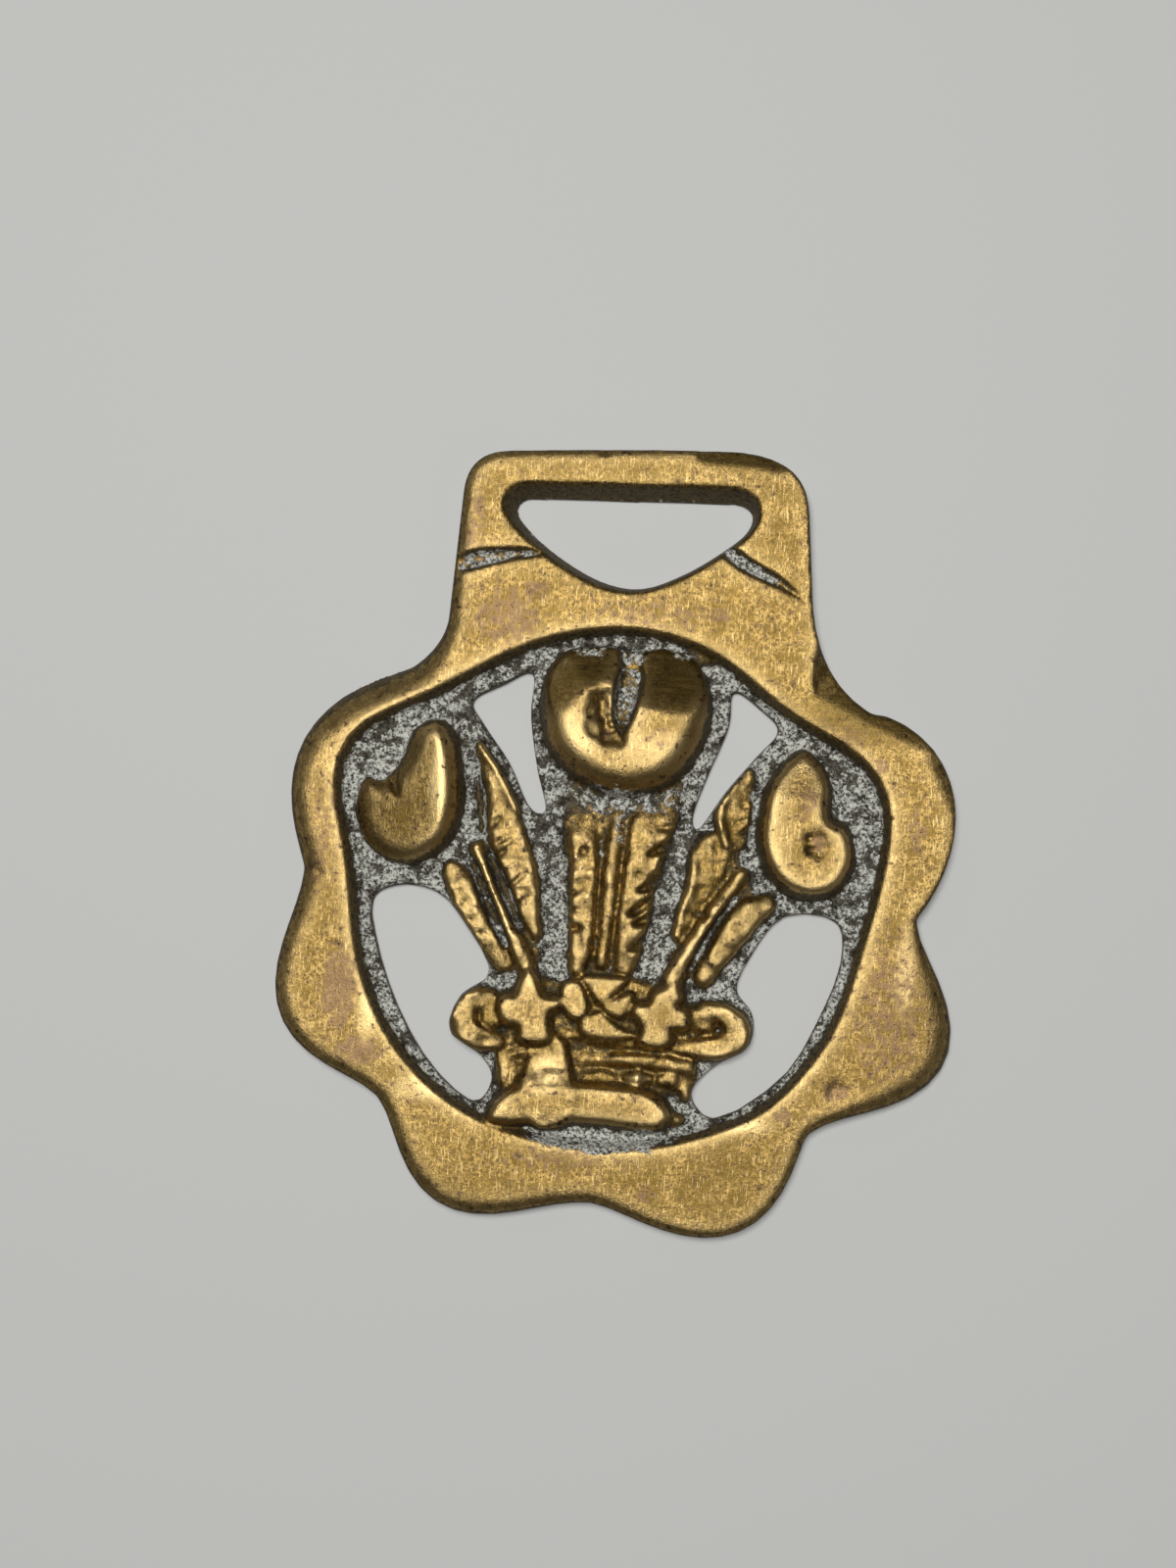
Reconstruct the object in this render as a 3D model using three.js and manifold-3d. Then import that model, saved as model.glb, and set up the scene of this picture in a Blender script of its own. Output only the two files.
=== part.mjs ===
// A horse brass: one solid brass casting, lying on its flat back, with its face up and its strap hanger
// towards +Y. Millimetres, +Z up, origin under the middle of the casting.

import * as THREE from 'three';
import { mergeVertices } from 'three/addons/utils/BufferGeometryUtils.js';
import Module from 'manifold-3d';

// Heights above the flat back.
const RIM_TOP = 3.2;
const WEB_TOP = 1.4;
const SLAB_LAND = 0.02;

// How far past the casting a tool that cuts right through it reaches.
const BELOW = 0.3;
const ABOVE = 9;

// The disc. Angles are in degrees from -Y, towards +X.
const DISC_CENTRE = { x: -0.1, y: -5.1 };
const DISC_TOP = { halfWidth: 14, y: 22 };
const LOBE_STEPS = 14;
const RIM_DRAFT = 1.2;

// Each lobe runs from one notch to the next. A low power makes it broad and a high one pointed, and a skew
// over 1 moves its tip on round the disc.
const LOBES = [
  { from: -134, to: -90.2, notch: 30.7, tip: 35.5, power: 1.14, skew: 1 },
  { from: -90.2, to: -45.7, notch: 32, tip: 36.6, power: 1.63, skew: 1.13 },
  { from: -45.7, to: -1.5, notch: 32.2, tip: 36.5, power: 2, skew: 0.87 },
  { from: -1.5, to: 40.9, notch: 31.8, tip: 36.6, power: 1.21, skew: 1.2 },
  { from: 40.9, to: 87.1, notch: 31.3, tip: 37.3, power: 1.7, skew: 1.07 },
  { from: 87.1, to: 129.1, notch: 30.3, tip: 35.3, power: 0.76, skew: 1.22 },
];
const LAST_NOTCH = 30.5;

// The recess inside the rim is a circle with bulges into the lobes and flats between them.
const RECESS = { radius: 26, draft: 0.6, steps: 84 };
const RECESS_BULGES = [
  { at: -113.6, rise: 4.9, width: 16.4 },
  { at: 115.7, rise: 3.1, width: 16.7 },
  { at: -45.7, rise: 1.4, width: 43.5 },
  { at: 76.6, rise: -0.95, width: 15.5 },
  { at: 137, rise: -1.95, width: 23 },
  { at: 36.7, rise: 0.5, width: 10 },
  { at: -8.8, rise: -0.5, width: 23 },
];

// The strap hanger: straight sides, a bowed top edge and a foot that flares into the disc.
const HANGER = {
  top: { right: [17.2, 34.6], left: [-18.4, 34.8] },
  crown: { right: [9.4, 40], left: [-13.6, 38.9] },
  waist: { right: [18.1, 24.6], left: [-19.1, 21] },
  foot: { right: [26, 13.4], left: [-25, 14.6] },
  corner: { right: [16.4, 39.8], middle: [-2, 39.7], left: [-17.9, 38.7] },
  flare: { right: [19.2, 15.9], left: [-19.7, 17.2] },
  bottom: 8,
  steps: 7,
};

// The slot for the strap: a bowed curve from one end of its straight upper edge round to the other. It is
// cut with a lean, as [x, y] shift for each millimetre of height, so that its upper wall slopes the most.
const SLOT = {
  bow: [
    [9.6, 35.9], [11.5, 35], [12, 33.3], [11.2, 31.4], [9, 29.4], [5, 26.7], [0.4, 24.8], [-4.2, 25.3],
    [-9.2, 27.9], [-12.8, 30.9], [-14, 33], [-13.3, 34.7], [-11.8, 35.3],
  ],
  steps: 44,
  draft: 1.15,
  lean: [-0.12, 0.07],
};

// The filed grooves across the foot of the slot, each running out to a point.
const GROOVE = { depth: 0.8, steps: 4, draft: 0.08 };
const GROOVES = [
  { line: [[-20, 26], [-17, 26.8], [-13.5, 27.6], [-9.2, 27.8]], width: 1.9 },
  { line: [[8.2, 29.7], [11, 28.1], [14, 26.4], [17, 24.7]], width: 1.5 },
];

// The openings through the web.
const OPENING = { steps: 34, draft: 0.2 };
const OPENINGS = {
  upperLeft: [
    [-10, 16.4], [-9.9, 12], [-8.9, 6.5], [-7.8, 1.9], [-9.3, 2], [-12, 6.8], [-15, 10.8], [-16.2, 12.9],
    [-13, 15],
  ],
  upperRight: [
    [10.4, 15.6], [13.5, 13.8], [15.4, 11.8], [13.2, 8.8], [10.4, 5.2], [7.4, 0.8], [6.9, 2.2], [8.3, 7],
    [10.1, 12],
  ],
  left: [
    [-25, -7.5], [-22.3, -6], [-18.2, -6.6], [-15.2, -9.7], [-12.4, -14.7], [-15.2, -16.9], [-16.2, -20.5],
    [-12.8, -22.8], [-11.5, -25], [-13, -27.7], [-17.5, -24.7], [-21.5, -19], [-24.2, -12.5],
  ],
  right: [
    [16.8, -6.9], [22.3, -7.2], [23, -10.8], [21, -17.2], [17.6, -23.3], [10.5, -27.9], [8.3, -25.3],
    [10.7, -22.3], [13.9, -20.3], [14.1, -17.1], [12.3, -14.8], [13.7, -11],
  ],
};

// The curled tips of the plumes: the middle one is two rolls with a cleft between them, over a base.
const ROLL = { steps: 22, rounds: 3 };
const MIDDLE_CURL = [
  {
    outline: [
      [-9.1, 12], [-8.7, 16.2], [-6.4, 18.8], [-3.6, 19.3], [-1.6, 18], [-1.5, 13], [-0.9, 8], [-2, 4.1],
      [-6, 5.9], [-8.4, 8.8],
    ],
    top: 5.6,
    edge: 1.2,
  },
  {
    outline: [
      [1.2, 18.3], [3.5, 19.1], [6, 18.4], [7.9, 15.8], [8.4, 12.5], [7.6, 9], [4.4, 5.2], [0.5, 3.8],
      [-1.2, 6], [0.1, 10.4], [0.8, 14],
    ],
    top: 5.6,
    edge: 1.2,
  },
  {
    outline: [
      [-7.6, 8.2], [-5, 5.6], [-0.6, 4.3], [4.2, 5.4], [7.2, 8.4], [4.6, 10.4], [-0.4, 10.1], [-4.8, 10.6],
    ],
    top: 5.5,
    edge: 1,
  },
];
const SIDE_CURLS = [
  {
    outline: [
      [-22.9, 7], [-21.6, 9.8], [-19, 10.9], [-17.2, 8.4], [-16.3, 4.5], [-16.4, 0.6], [-18, -2.3],
      [-20.6, -2.4], [-22.3, 0.8],
    ],
    top: 5,
    edge: 1.5,
  },
  {
    outline: [
      [-27.3, 2.6], [-26.8, -0.9], [-24.7, -3.3], [-21.5, -4.1], [-18.6, -2.9], [-19.6, 0.5], [-22.9, 2.6],
      [-24.8, 4.4], [-26.4, 4.8],
    ],
    top: 4.2,
    edge: 0.8,
  },
  {
    outline: [
      [17.3, 9.8], [19.7, 8.7], [20.8, 5.8], [20.9, 2.6], [19.6, -0.4], [17.2, -2], [14.9, -1.6], [13.4, 1.3],
      [13.9, 5], [15.3, 8.4],
    ],
    top: 5,
    edge: 1.5,
  },
  {
    outline: [
      [22.8, 2], [23.7, -0.6], [22.4, -3.9], [19.4, -5.3], [16.4, -4.5], [14.1, -1.8], [15.8, 0.4],
      [19.2, 1.6], [21.3, 2.7],
    ],
    top: 4.3,
    edge: 1.5,
  },
];

// The slope filed across the middle curl, from this height and this far up the casting.
const FILED = { slope: 17, from: 12.5, height: 5.6, width: 24, reach: 14 };

// Half widths of a strip at t, from 0 at its start to 1 at its end: blunt is full from end to end, leaf
// swells in the middle, and point tapers off.
const blunt = (width) => () => width / 2;
const leaf = (width) => (t) => (width / 2) * (0.5 + 0.5 * Math.sin(Math.PI * t));
const point = (width) => (t) => (width / 2) * (1 - 0.7 * t);

// The sides of a strip lean in by this share of its width.
const STRIP = { steps: 6, lean: 0.2 };

// The shafts of the plumes. A row of barb cuts starts at from and goes on by step, and each cut reaches
// into a vane.
const BARB = { width: 0.7, mouth: 3.4, floor: 1.9, lean: 0.06 };
const SHAFTS = {
  middle: {
    strips: [
      { line: [[-4.1, 5], [-4, 0], [-3.9, -7], [-3.9, -14]], width: 3.2, shape: blunt, top: 2.7 },
      { line: [[-0.4, 5], [-0.8, -3], [-1.3, -8], [-1.4, -14]], width: 1.3, shape: blunt, top: 3 },
      { line: [[2.9, 5], [2.4, 0], [1.9, -6], [0.8, -14]], width: 4, shape: blunt, top: 2.7 },
    ],
    barbs: [
      { from: [5.2, 2.4], step: [-0.3, -2.3], count: 7, reach: [-3.4, -1.9] },
      { from: [-5.9, 1.2], step: [0.1, -2.6], count: 6, reach: [2.1, 0.5] },
    ],
  },
  left: {
    strips: [
      { line: [[-17.2, -3.2], [-15.5, -6.2], [-13.4, -10], [-11, -14]], width: 1.9, shape: blunt, top: 2.4 },
      { line: [[-14.6, -1.6], [-12.3, -6], [-10.4, -10], [-8.6, -14]], width: 1, shape: blunt, top: 3 },
      { line: [[-15.2, 8.6], [-12.3, 3], [-10.4, -3.4], [-8.1, -10]], width: 3.2, shape: leaf, top: 2.6 },
    ],
    barbs: [{ from: [-9.3, 2.4], step: [0.35, -2.1], count: 6, reach: [-1.9, -1.5] }],
  },
  right: {
    strips: [
      { line: [[16.2, -5.2], [13, -7.3], [11, -10], [9, -14]], width: 2.3, shape: leaf, top: 2.5 },
      { line: [[13, -2.4], [9.7, -7], [7.4, -11], [5.6, -15]], width: 1.1, shape: blunt, top: 3 },
      { line: [[11.6, 7], [9.9, 2], [8.3, -3.6], [6.4, -9.8]], width: 2.8, shape: leaf, top: 2.5 },
    ],
    barbs: [{ from: [7.2, 0.2], step: [-0.15, -2.2], count: 4, reach: [1.8, -1.2] }],
  },
};

// The crosses of the coronet. Arms are [reach, half width at the tip], from the foot round towards +X.
const CROSS = { waist: 1.15, top: 3.4, edge: 0.5 };
const CROSSES = [
  { centre: [-8.3, -17.9], arms: [[3.1, 1.45], [2.9, 0.95], [3.8, 0.8], [2.8, 1.25]], turn: 4 },
  { centre: [5, -17.8], arms: [[3.1, 1.35], [2.7, 0.9], [3.6, 0.8], [2.7, 0.95]], turn: -8 },
];

// The knot of crossed bars between the crosses.
const BAR_STEPS = 3;
const KNOT = [
  { line: [[-4.1, -15.2], [-3.6, -16.8], [-3, -18.4]], width: 2.1, top: 2.9 },
  { line: [[-2.6, -14.8], [-0.9, -15], [0.8, -14.8]], width: 1.2, top: 2.8 },
  { line: [[-2.4, -15.2], [-1.2, -16.2], [-0.2, -17.4]], width: 1.5, top: 2.8 },
  { line: [[1.5, -15.9], [0.4, -16.9], [-0.6, -17.6]], width: 1.6, top: 3 },
  { line: [[-2.6, -19], [0.4, -19.4], [3, -20.4]], width: 1.6, top: 2.6 },
  { line: [[2.6, -20.6], [5, -20.9], [8, -20.7]], width: 0.8, top: 2.4 },
];

// The scrolled finials at the coronet's ends, each an arc of a band with a bead in its hollow.
const FINIAL = { band: 1.8, edge: 0.5, steps: 12, top: 2.8, beadTop: 2.5, beadSteps: 10 };
const FINIALS = [
  { centre: [-13, -18.9], radius: [2.3, 2.2], from: 75, to: 290, bead: [-12.2, -18.6, 0.95] },
  { centre: [10.9, -18.9], radius: [2.4, 1.6], from: 115, to: -125, bead: [8.9, -18.1, 1.1] },
];

// The jewelled band: a block with a sunk pocket, mouldings and jewels, and the headband's lens below.
const BAND = {
  outline: [[-11, -27.6], [8.2, -27.6], [8.6, -21.6], [-11, -22]],
  top: 2.6,
  edge: 0.5,
  pocket: [[-4.3, -22.6], [9.6, -22.6], [9.6, -26], [4, -25.4], [-3.6, -25.2]],
  pocketFloor: 1.7,
  pocketDraft: 0.2,
};
const MOULDINGS = [
  { line: [[0.6, -22.3], [4.4, -22.2], [8.2, -22.5]], width: 1.1, top: 2.7 },
  { line: [[-10.6, -24.4], [-9.6, -24.5], [-8.6, -24.4]], width: 1.3, top: 3 },
];
const JEWEL = { steps: 8, lean: 0.6 };
const JEWELS = [
  { centre: [3, -24.1], radius: [1.35, 0.75], top: 2.8 },
  { centre: [6, -24.1], radius: [0.75, 0.65], top: 2.6 },
  { centre: [-1, -24.3], radius: [1.2, 0.7], top: 2.4 },
];
const HEADBAND = {
  left: [-11.2, -28.9],
  right: [8, -28.6],
  above: [-1.7, -22.3],
  below: [-1.7, -28],
  end: 1,
  top: 3.7,
  edge: 0.55,
  steps: 9,
};

const wasm = await Module();
wasm.setup();

const radians = (degrees) => (degrees * Math.PI) / 180;
const vector = ([x, y]) => new THREE.Vector2(x, y);

/** A point of the disc at an angle from -Y towards +X. */
function discPoint(angle, radius) {
  const turn = radians(angle);
  return new THREE.Vector2(DISC_CENTRE.x + radius * Math.sin(turn), DISC_CENTRE.y - radius * Math.cos(turn));
}

/** A closed smooth curve through the given points, as a polygon. */
function smooth(points, steps) {
  const curve = new THREE.CatmullRomCurve3(points.map(([x, y]) => new THREE.Vector3(x, y, 0)), true);
  return curve.getPoints(steps).slice(0, -1).map((p) => new THREE.Vector2(p.x, p.y));
}

/** An ellipse, as a polygon. */
function ellipse([x, y], [halfWidth, halfHeight], steps) {
  return new THREE.EllipseCurve(x, y, halfWidth, halfHeight).getPoints(steps).slice(0, -1);
}

/** A strip along a smooth line, with its half width at t from half(t). */
function strip(line, half, steps) {
  const curve = new THREE.SplineCurve(line.map(vector));
  const left = [];
  const right = [];
  for (let i = 0; i <= steps; i += 1) {
    const t = i / steps;
    const middle = curve.getPoint(t);
    const along = curve.getTangent(t);
    const out = new THREE.Vector2(-along.y, along.x).multiplyScalar(half(t));
    left.push(middle.clone().add(out));
    right.push(middle.clone().sub(out));
  }
  return [...right, ...left.reverse()];
}

/** A closed mesh as a solid for cutting and joining. */
function toSolid(geometry) {
  geometry.deleteAttribute('normal');
  geometry.deleteAttribute('uv');
  const merged = mergeVertices(geometry);
  return new wasm.Manifold(
    new wasm.Mesh({
      numProp: 3,
      vertProperties: new Float32Array(merged.attributes.position.array),
      triVerts: new Uint32Array(merged.index.array),
    }),
  );
}

/** Solids joined into one. */
const join = (solids) => wasm.Manifold.union(solids);

/**
 * A slab that is widest at its middle height and drawn in by an edge at both ends. With one round its sides
 * are straight and drafted, and with more they are rounded over. A lean shears it, by [x, y] for each
 * millimetre of height.
 */
function slab(outline, middle, halfHeight, edge, rounds = 1, lean = [0, 0]) {
  const geometry = new THREE.ExtrudeGeometry(new THREE.Shape(outline), {
    depth: SLAB_LAND,
    steps: 1,
    bevelThickness: halfHeight - SLAB_LAND / 2,
    bevelSize: edge,
    bevelOffset: -edge,
    bevelSegments: rounds,
    curveSegments: 1,
  });
  geometry.translate(0, 0, -SLAB_LAND / 2);
  geometry.applyMatrix4(new THREE.Matrix4().makeShear(0, 0, 0, 0, ...lean));
  geometry.translate(0, 0, middle);
  return toSolid(geometry);
}

/** A form that stands on the back plane. */
const raised = (outline, top, edge, rounds = 2) => slab(outline, 0, top, edge, rounds);

/** A tool that cuts from its mouth, where it is widest, down to a floor. */
const cutter = (outline, mouth, floor, draft) => slab(outline, mouth, mouth - floor, draft);

/** A short bar, such as one of the knot. */
const bar = ({ line, width, top }) => raised(strip(line, blunt(width), BAR_STEPS), top, width * STRIP.lean);

/** The scalloped disc, closed off inside the hanger. */
function discOutline() {
  const points = [];
  LOBES.forEach((lobe, i) => {
    const next = i + 1 < LOBES.length ? LOBES[i + 1].notch : LAST_NOTCH;
    for (let k = 0; k < LOBE_STEPS; k += 1) {
      const t = k / LOBE_STEPS;
      const base = lobe.notch * (1 - t) + next * t;
      const swell = (lobe.tip - (lobe.notch + next) / 2) * Math.sin(Math.PI * t ** lobe.skew) ** lobe.power;
      points.push(discPoint(lobe.from + t * (lobe.to - lobe.from), base + swell));
    }
  });
  points.push(discPoint(LOBES.at(-1).to, LAST_NOTCH));
  points.push(vector([DISC_TOP.halfWidth, DISC_TOP.y]), vector([-DISC_TOP.halfWidth, DISC_TOP.y]));
  return points;
}

/** The inner edge of the rim. */
function recessOutline() {
  const points = [];
  for (let k = 0; k < RECESS.steps; k += 1) {
    const angle = -180 + (360 * k) / RECESS.steps;
    let radius = RECESS.radius;
    for (const { at, rise, width } of RECESS_BULGES) {
      radius += rise * Math.exp(-(((angle - at) / width) ** 2));
    }
    points.push(discPoint(angle, radius));
  }
  return points;
}

function hangerOutline() {
  const { top, crown, waist, foot, corner, flare, bottom } = HANGER;
  const path = new THREE.Path();
  path.moveTo(foot.right[0], bottom);
  path.lineTo(...foot.right);
  path.quadraticCurveTo(...flare.right, ...waist.right);
  path.lineTo(...top.right);
  path.quadraticCurveTo(...corner.right, ...crown.right);
  path.quadraticCurveTo(...corner.middle, ...crown.left);
  path.quadraticCurveTo(...corner.left, ...top.left);
  path.lineTo(...waist.left);
  path.quadraticCurveTo(...flare.left, ...foot.left);
  path.lineTo(foot.left[0], bottom);
  return path.getPoints(HANGER.steps);
}

/** The rim, the hanger and the web, before the carving is raised on the web. */
function plate() {
  const disc = slab(discOutline(), 0, RIM_TOP, RIM_DRAFT, 2);
  const hanger = slab(hangerOutline(), 0, RIM_TOP, RIM_DRAFT, 2);
  const recess = cutter(recessOutline(), RIM_TOP, WEB_TOP, RECESS.draft);
  const bow = new THREE.SplineCurve(SLOT.bow.map(vector)).getPoints(SLOT.steps);
  const slot = slab(bow, RIM_TOP, RIM_TOP + BELOW, SLOT.draft, 1, SLOT.lean);
  return disc.add(hanger).subtract(recess).subtract(slot);
}

/** The curled tips of the three plumes, the middle one filed to a slope towards the slot. */
function plumeTips() {
  const roll = ({ outline, top, edge }) => raised(smooth(outline, ROLL.steps), top, edge, ROLL.rounds);
  const file = new THREE.BoxGeometry(FILED.width, FILED.reach, FILED.height);
  file.translate(0, FILED.reach / 2, FILED.height / 2);
  file.rotateX(-radians(FILED.slope));
  file.translate(0, FILED.from, FILED.height);
  return join([join(MIDDLE_CURL.map(roll)).subtract(toSolid(file)), ...SIDE_CURLS.map(roll)]);
}

/** A plume's shaft: its rib and vanes, and the cuts between the barbs. */
function shaft({ strips, barbs }) {
  const forms = strips.map(({ line, width, shape, top }) => {
    return raised(strip(line, shape(width), STRIP.steps), top, width * STRIP.lean);
  });
  const cuts = [];
  for (const { from, step, count, reach } of barbs) {
    for (let i = 0; i < count; i += 1) {
      const start = [from[0] + i * step[0], from[1] + i * step[1]];
      const end = [start[0] + reach[0], start[1] + reach[1]];
      const outline = strip([start, end], point(BARB.width), 1);
      cuts.push(cutter(outline, BARB.mouth, BARB.floor, BARB.width * BARB.lean));
    }
  }
  return wasm.Manifold.difference([join(forms), ...cuts]);
}

function cross({ centre, arms, turn }) {
  const { waist, top, edge } = CROSS;
  const outline = arms.flatMap(([reach, tip], i) => {
    const arm = [vector([-waist, -waist]), vector([-tip, -reach]), vector([tip, -reach])];
    return arm.map((p) => p.rotateAround(vector([0, 0]), radians(turn + 90 * i)).add(vector(centre)));
  });
  return raised(outline, top, edge);
}

function finial({ centre, radius, from, to, bead }) {
  const line = [];
  for (let i = 0; i <= FINIAL.steps; i += 1) {
    const turn = radians(from + ((to - from) * i) / FINIAL.steps);
    line.push([centre[0] + radius[0] * Math.cos(turn), centre[1] + radius[1] * Math.sin(turn)]);
  }
  const [x, y, r] = bead;
  return join([
    raised(strip(line, blunt(FINIAL.band), FINIAL.steps), FINIAL.top, FINIAL.edge),
    raised(ellipse([x, y], [r, r], FINIAL.beadSteps), FINIAL.beadTop, FINIAL.edge),
  ]);
}

/** The lens of the headband, between two bowed edges with a short end at each side. */
function headbandOutline() {
  const { left, right, above, below, end, steps } = HEADBAND;
  const path = new THREE.Path();
  path.moveTo(...left);
  path.quadraticCurveTo(...below, ...right);
  path.lineTo(right[0], right[1] + end);
  path.quadraticCurveTo(...above, left[0], left[1] + end);
  return path.getPoints(steps);
}

function band() {
  const block = raised(BAND.outline.map(vector), BAND.top, BAND.edge);
  const pocket = cutter(BAND.pocket.map(vector), BAND.top, BAND.pocketFloor, BAND.pocketDraft);
  const jewels = JEWELS.map(({ centre, radius, top }) => {
    return raised(ellipse(centre, radius, JEWEL.steps), top, radius[1] * JEWEL.lean);
  });
  const headband = raised(headbandOutline(), HEADBAND.top, HEADBAND.edge, ROLL.rounds);
  return join([block.subtract(pocket), ...MOULDINGS.map(bar), ...jewels, headband]);
}

/** All of the carving that stands on the web. */
function carving() {
  const plumes = [plumeTips(), ...Object.values(SHAFTS).map(shaft)];
  const coronet = [...CROSSES.map(cross), ...KNOT.map(bar), ...FINIALS.map(finial), band()];
  return join([...plumes, ...coronet]);
}

/** The openings through the web and the filed grooves across the hanger. */
function cuts() {
  const openings = Object.values(OPENINGS).map((points) => {
    return slab(smooth(points, OPENING.steps), ABOVE, ABOVE + BELOW, OPENING.draft);
  });
  const grooves = GROOVES.map(({ line, width }) => {
    return cutter(strip(line, point(width), GROOVE.steps), RIM_TOP, RIM_TOP - GROOVE.depth, GROOVE.draft);
  });
  return [...openings, ...grooves];
}

/** The whole casting, cut flat at the back. */
function casting() {
  const bed = new THREE.BoxGeometry(200, 200, 20);
  bed.translate(0, 0, -10);
  return wasm.Manifold.difference([plate().add(carving()), ...cuts(), toSolid(bed)]);
}

/** A solid as a three.js geometry. */
function toGeometry(solid) {
  const mesh = solid.getMesh();
  const geometry = new THREE.BufferGeometry();
  geometry.setAttribute('position', new THREE.BufferAttribute(new Float32Array(mesh.vertProperties), 3));
  geometry.setIndex(new THREE.BufferAttribute(new Uint32Array(mesh.triVerts), 1));
  geometry.computeVertexNormals();
  return geometry;
}

const brass = new THREE.MeshStandardMaterial({ color: 0xb08d3f, roughness: 0.4, metalness: 1 });
brass.flatShading = true;
const horseBrass = new THREE.Mesh(toGeometry(casting()), brass);
horseBrass.name = 'horse_brass';

const group = new THREE.Group();
group.add(horseBrass);
export default group;
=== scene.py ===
"""A worn cast horse brass, lying on its back and seen from above. The outline, the slot and the openings
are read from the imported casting, and the carving is worked over them at full detail.

Lengths are in millimetres until the mesh is made, and heights are above the flat back."""

import functools
import itertools
import math

import bmesh
import bpy
import numpy as np
from mathutils import Matrix, Vector

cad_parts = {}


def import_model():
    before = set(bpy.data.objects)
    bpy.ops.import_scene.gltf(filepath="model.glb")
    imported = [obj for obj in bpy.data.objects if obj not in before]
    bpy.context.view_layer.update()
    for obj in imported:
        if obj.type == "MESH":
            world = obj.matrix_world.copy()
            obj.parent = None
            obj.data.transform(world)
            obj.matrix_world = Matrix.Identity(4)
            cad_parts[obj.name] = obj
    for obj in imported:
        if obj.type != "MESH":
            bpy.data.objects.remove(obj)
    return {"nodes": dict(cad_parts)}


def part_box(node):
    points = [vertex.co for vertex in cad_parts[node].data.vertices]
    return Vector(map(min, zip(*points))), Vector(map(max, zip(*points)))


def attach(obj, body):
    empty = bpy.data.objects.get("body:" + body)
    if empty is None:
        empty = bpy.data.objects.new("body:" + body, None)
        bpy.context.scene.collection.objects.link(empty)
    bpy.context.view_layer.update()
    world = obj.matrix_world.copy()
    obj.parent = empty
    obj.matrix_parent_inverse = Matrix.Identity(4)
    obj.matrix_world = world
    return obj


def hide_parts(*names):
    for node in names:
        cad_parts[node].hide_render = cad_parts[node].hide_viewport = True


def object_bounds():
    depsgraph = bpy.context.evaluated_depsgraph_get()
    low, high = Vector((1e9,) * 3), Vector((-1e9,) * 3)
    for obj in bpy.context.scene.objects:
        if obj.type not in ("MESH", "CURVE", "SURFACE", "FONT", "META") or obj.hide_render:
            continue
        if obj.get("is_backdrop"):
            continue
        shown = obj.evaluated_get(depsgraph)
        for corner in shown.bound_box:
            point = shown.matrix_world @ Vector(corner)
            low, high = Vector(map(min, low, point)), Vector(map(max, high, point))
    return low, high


MM = 0.001
NODE = "horse_brass"
BODY = "root"

# The grid that the relief is worked out on: its step, the height of its layers, and how far it reaches past
# the casting. The mesh made on it is thinned to so many triangles.
STEP = 0.26
LAYER = 0.31
MARGIN = 1.0
TRIANGLES = 194000

# Heights.
RIM_TOP = 3.2
GROUND = 1.3

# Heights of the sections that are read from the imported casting: near its back, below the grooves of the
# hanger, and near its face.
SECTIONS = {"back": 0.05, "middle": 2.3, "face": 3.15}

# A point inside the slot, which tells its loop from the others in a section.
SLOT_MIDDLE = (-1, 31)

# Forms rise from the ground through a fillet, fall by the skirt's slope outside their outline, and strokes
# flare out beyond their width. Cuts have an edge of their own.
FILLET = 0.4
SKIRT = 2.0
FLARE = 0.25
CUT_EDGE = 0.15

# How many straight pieces each stretch of a curve is made of.
CURVE_STEPS = 6

# How far from a form, a stroke, a cut or an opening the grid is worked out.
REACH = {"form": 2, "stroke": 1, "cut": 3, "opening": 6}

# The rim's outer edge is rounded over a width that changes round the disc, drops by a share of that width,
# and stands on a wall that leans in by the draft. Angles are in degrees from -Y, towards +X.
DISC_CENTRE = (-0.1, -5.1)
EDGE = {"width": 1.3, "least": 0.35, "drop": 0.85, "draft": 0.1}
EDGE_CHANGES = [
    {"at": -95, "spread": 42, "by": 1.3},
    {"at": -20, "spread": 25, "by": 0.6},
    {"at": 68, "spread": 16, "by": 1.5},
    {"at": 93, "spread": 14, "by": -0.9},
    {"at": 150, "spread": 18, "by": -0.8},
    {"at": -152, "spread": 10, "by": 0.3},
    {"at": -127, "spread": 13, "by": 2.6},
]

# The edges of the recess and of the slot are rounded over a width and fall by the drop. The recess's wall is
# this wide in plan, and the walls of the openings lean back by their draft.
INNER_EDGE = {"width": 0.7, "drop": 0.4}
SLOT_EDGE = {"width": 0.45, "drop": 0.3}
RECESS_WALL = 0.6
OPENING_DRAFT = 0.12

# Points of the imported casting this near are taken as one.
WELD = 0.001

# Flats filed on the rim and on the middle curl. Each falls by its slope, in the direction it faces, from a
# line that reaches so far each way from its middle, and beyond that it lifts out of the metal.
FACET_LIFT = 0.35
RIM_FACETS = [
    {"middle": (24.5, 12.5), "facing": 66.9, "slope": 0.37, "reach": 6.2},
    {"middle": (31.5, 6.9), "facing": 25.8, "slope": 0.40, "reach": 2.6},
    {"middle": (9.5, 38.1), "facing": 86, "slope": 0.38, "reach": 3.6},
    {"middle": (12.8, 37.7), "facing": 75, "slope": 0.4, "reach": 0.8},
]
CURL_LIFT = 2.0
CURL_TOP = 5.35
CURL_FACETS = [
    {"middle": (4.4, 12.8), "facing": 84, "slope": 0.50, "reach": 4.6},
    {"middle": (-4.6, 14.6), "facing": 94, "slope": 0.50, "reach": 3.6},
    {"middle": (-6.4, 12.4), "facing": 140, "slope": 0.46, "reach": 3.6},
]

# The curls are shaped on their own, from this far below the ground, and then joined to the rest.
CURL_FOOT = 1

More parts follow.
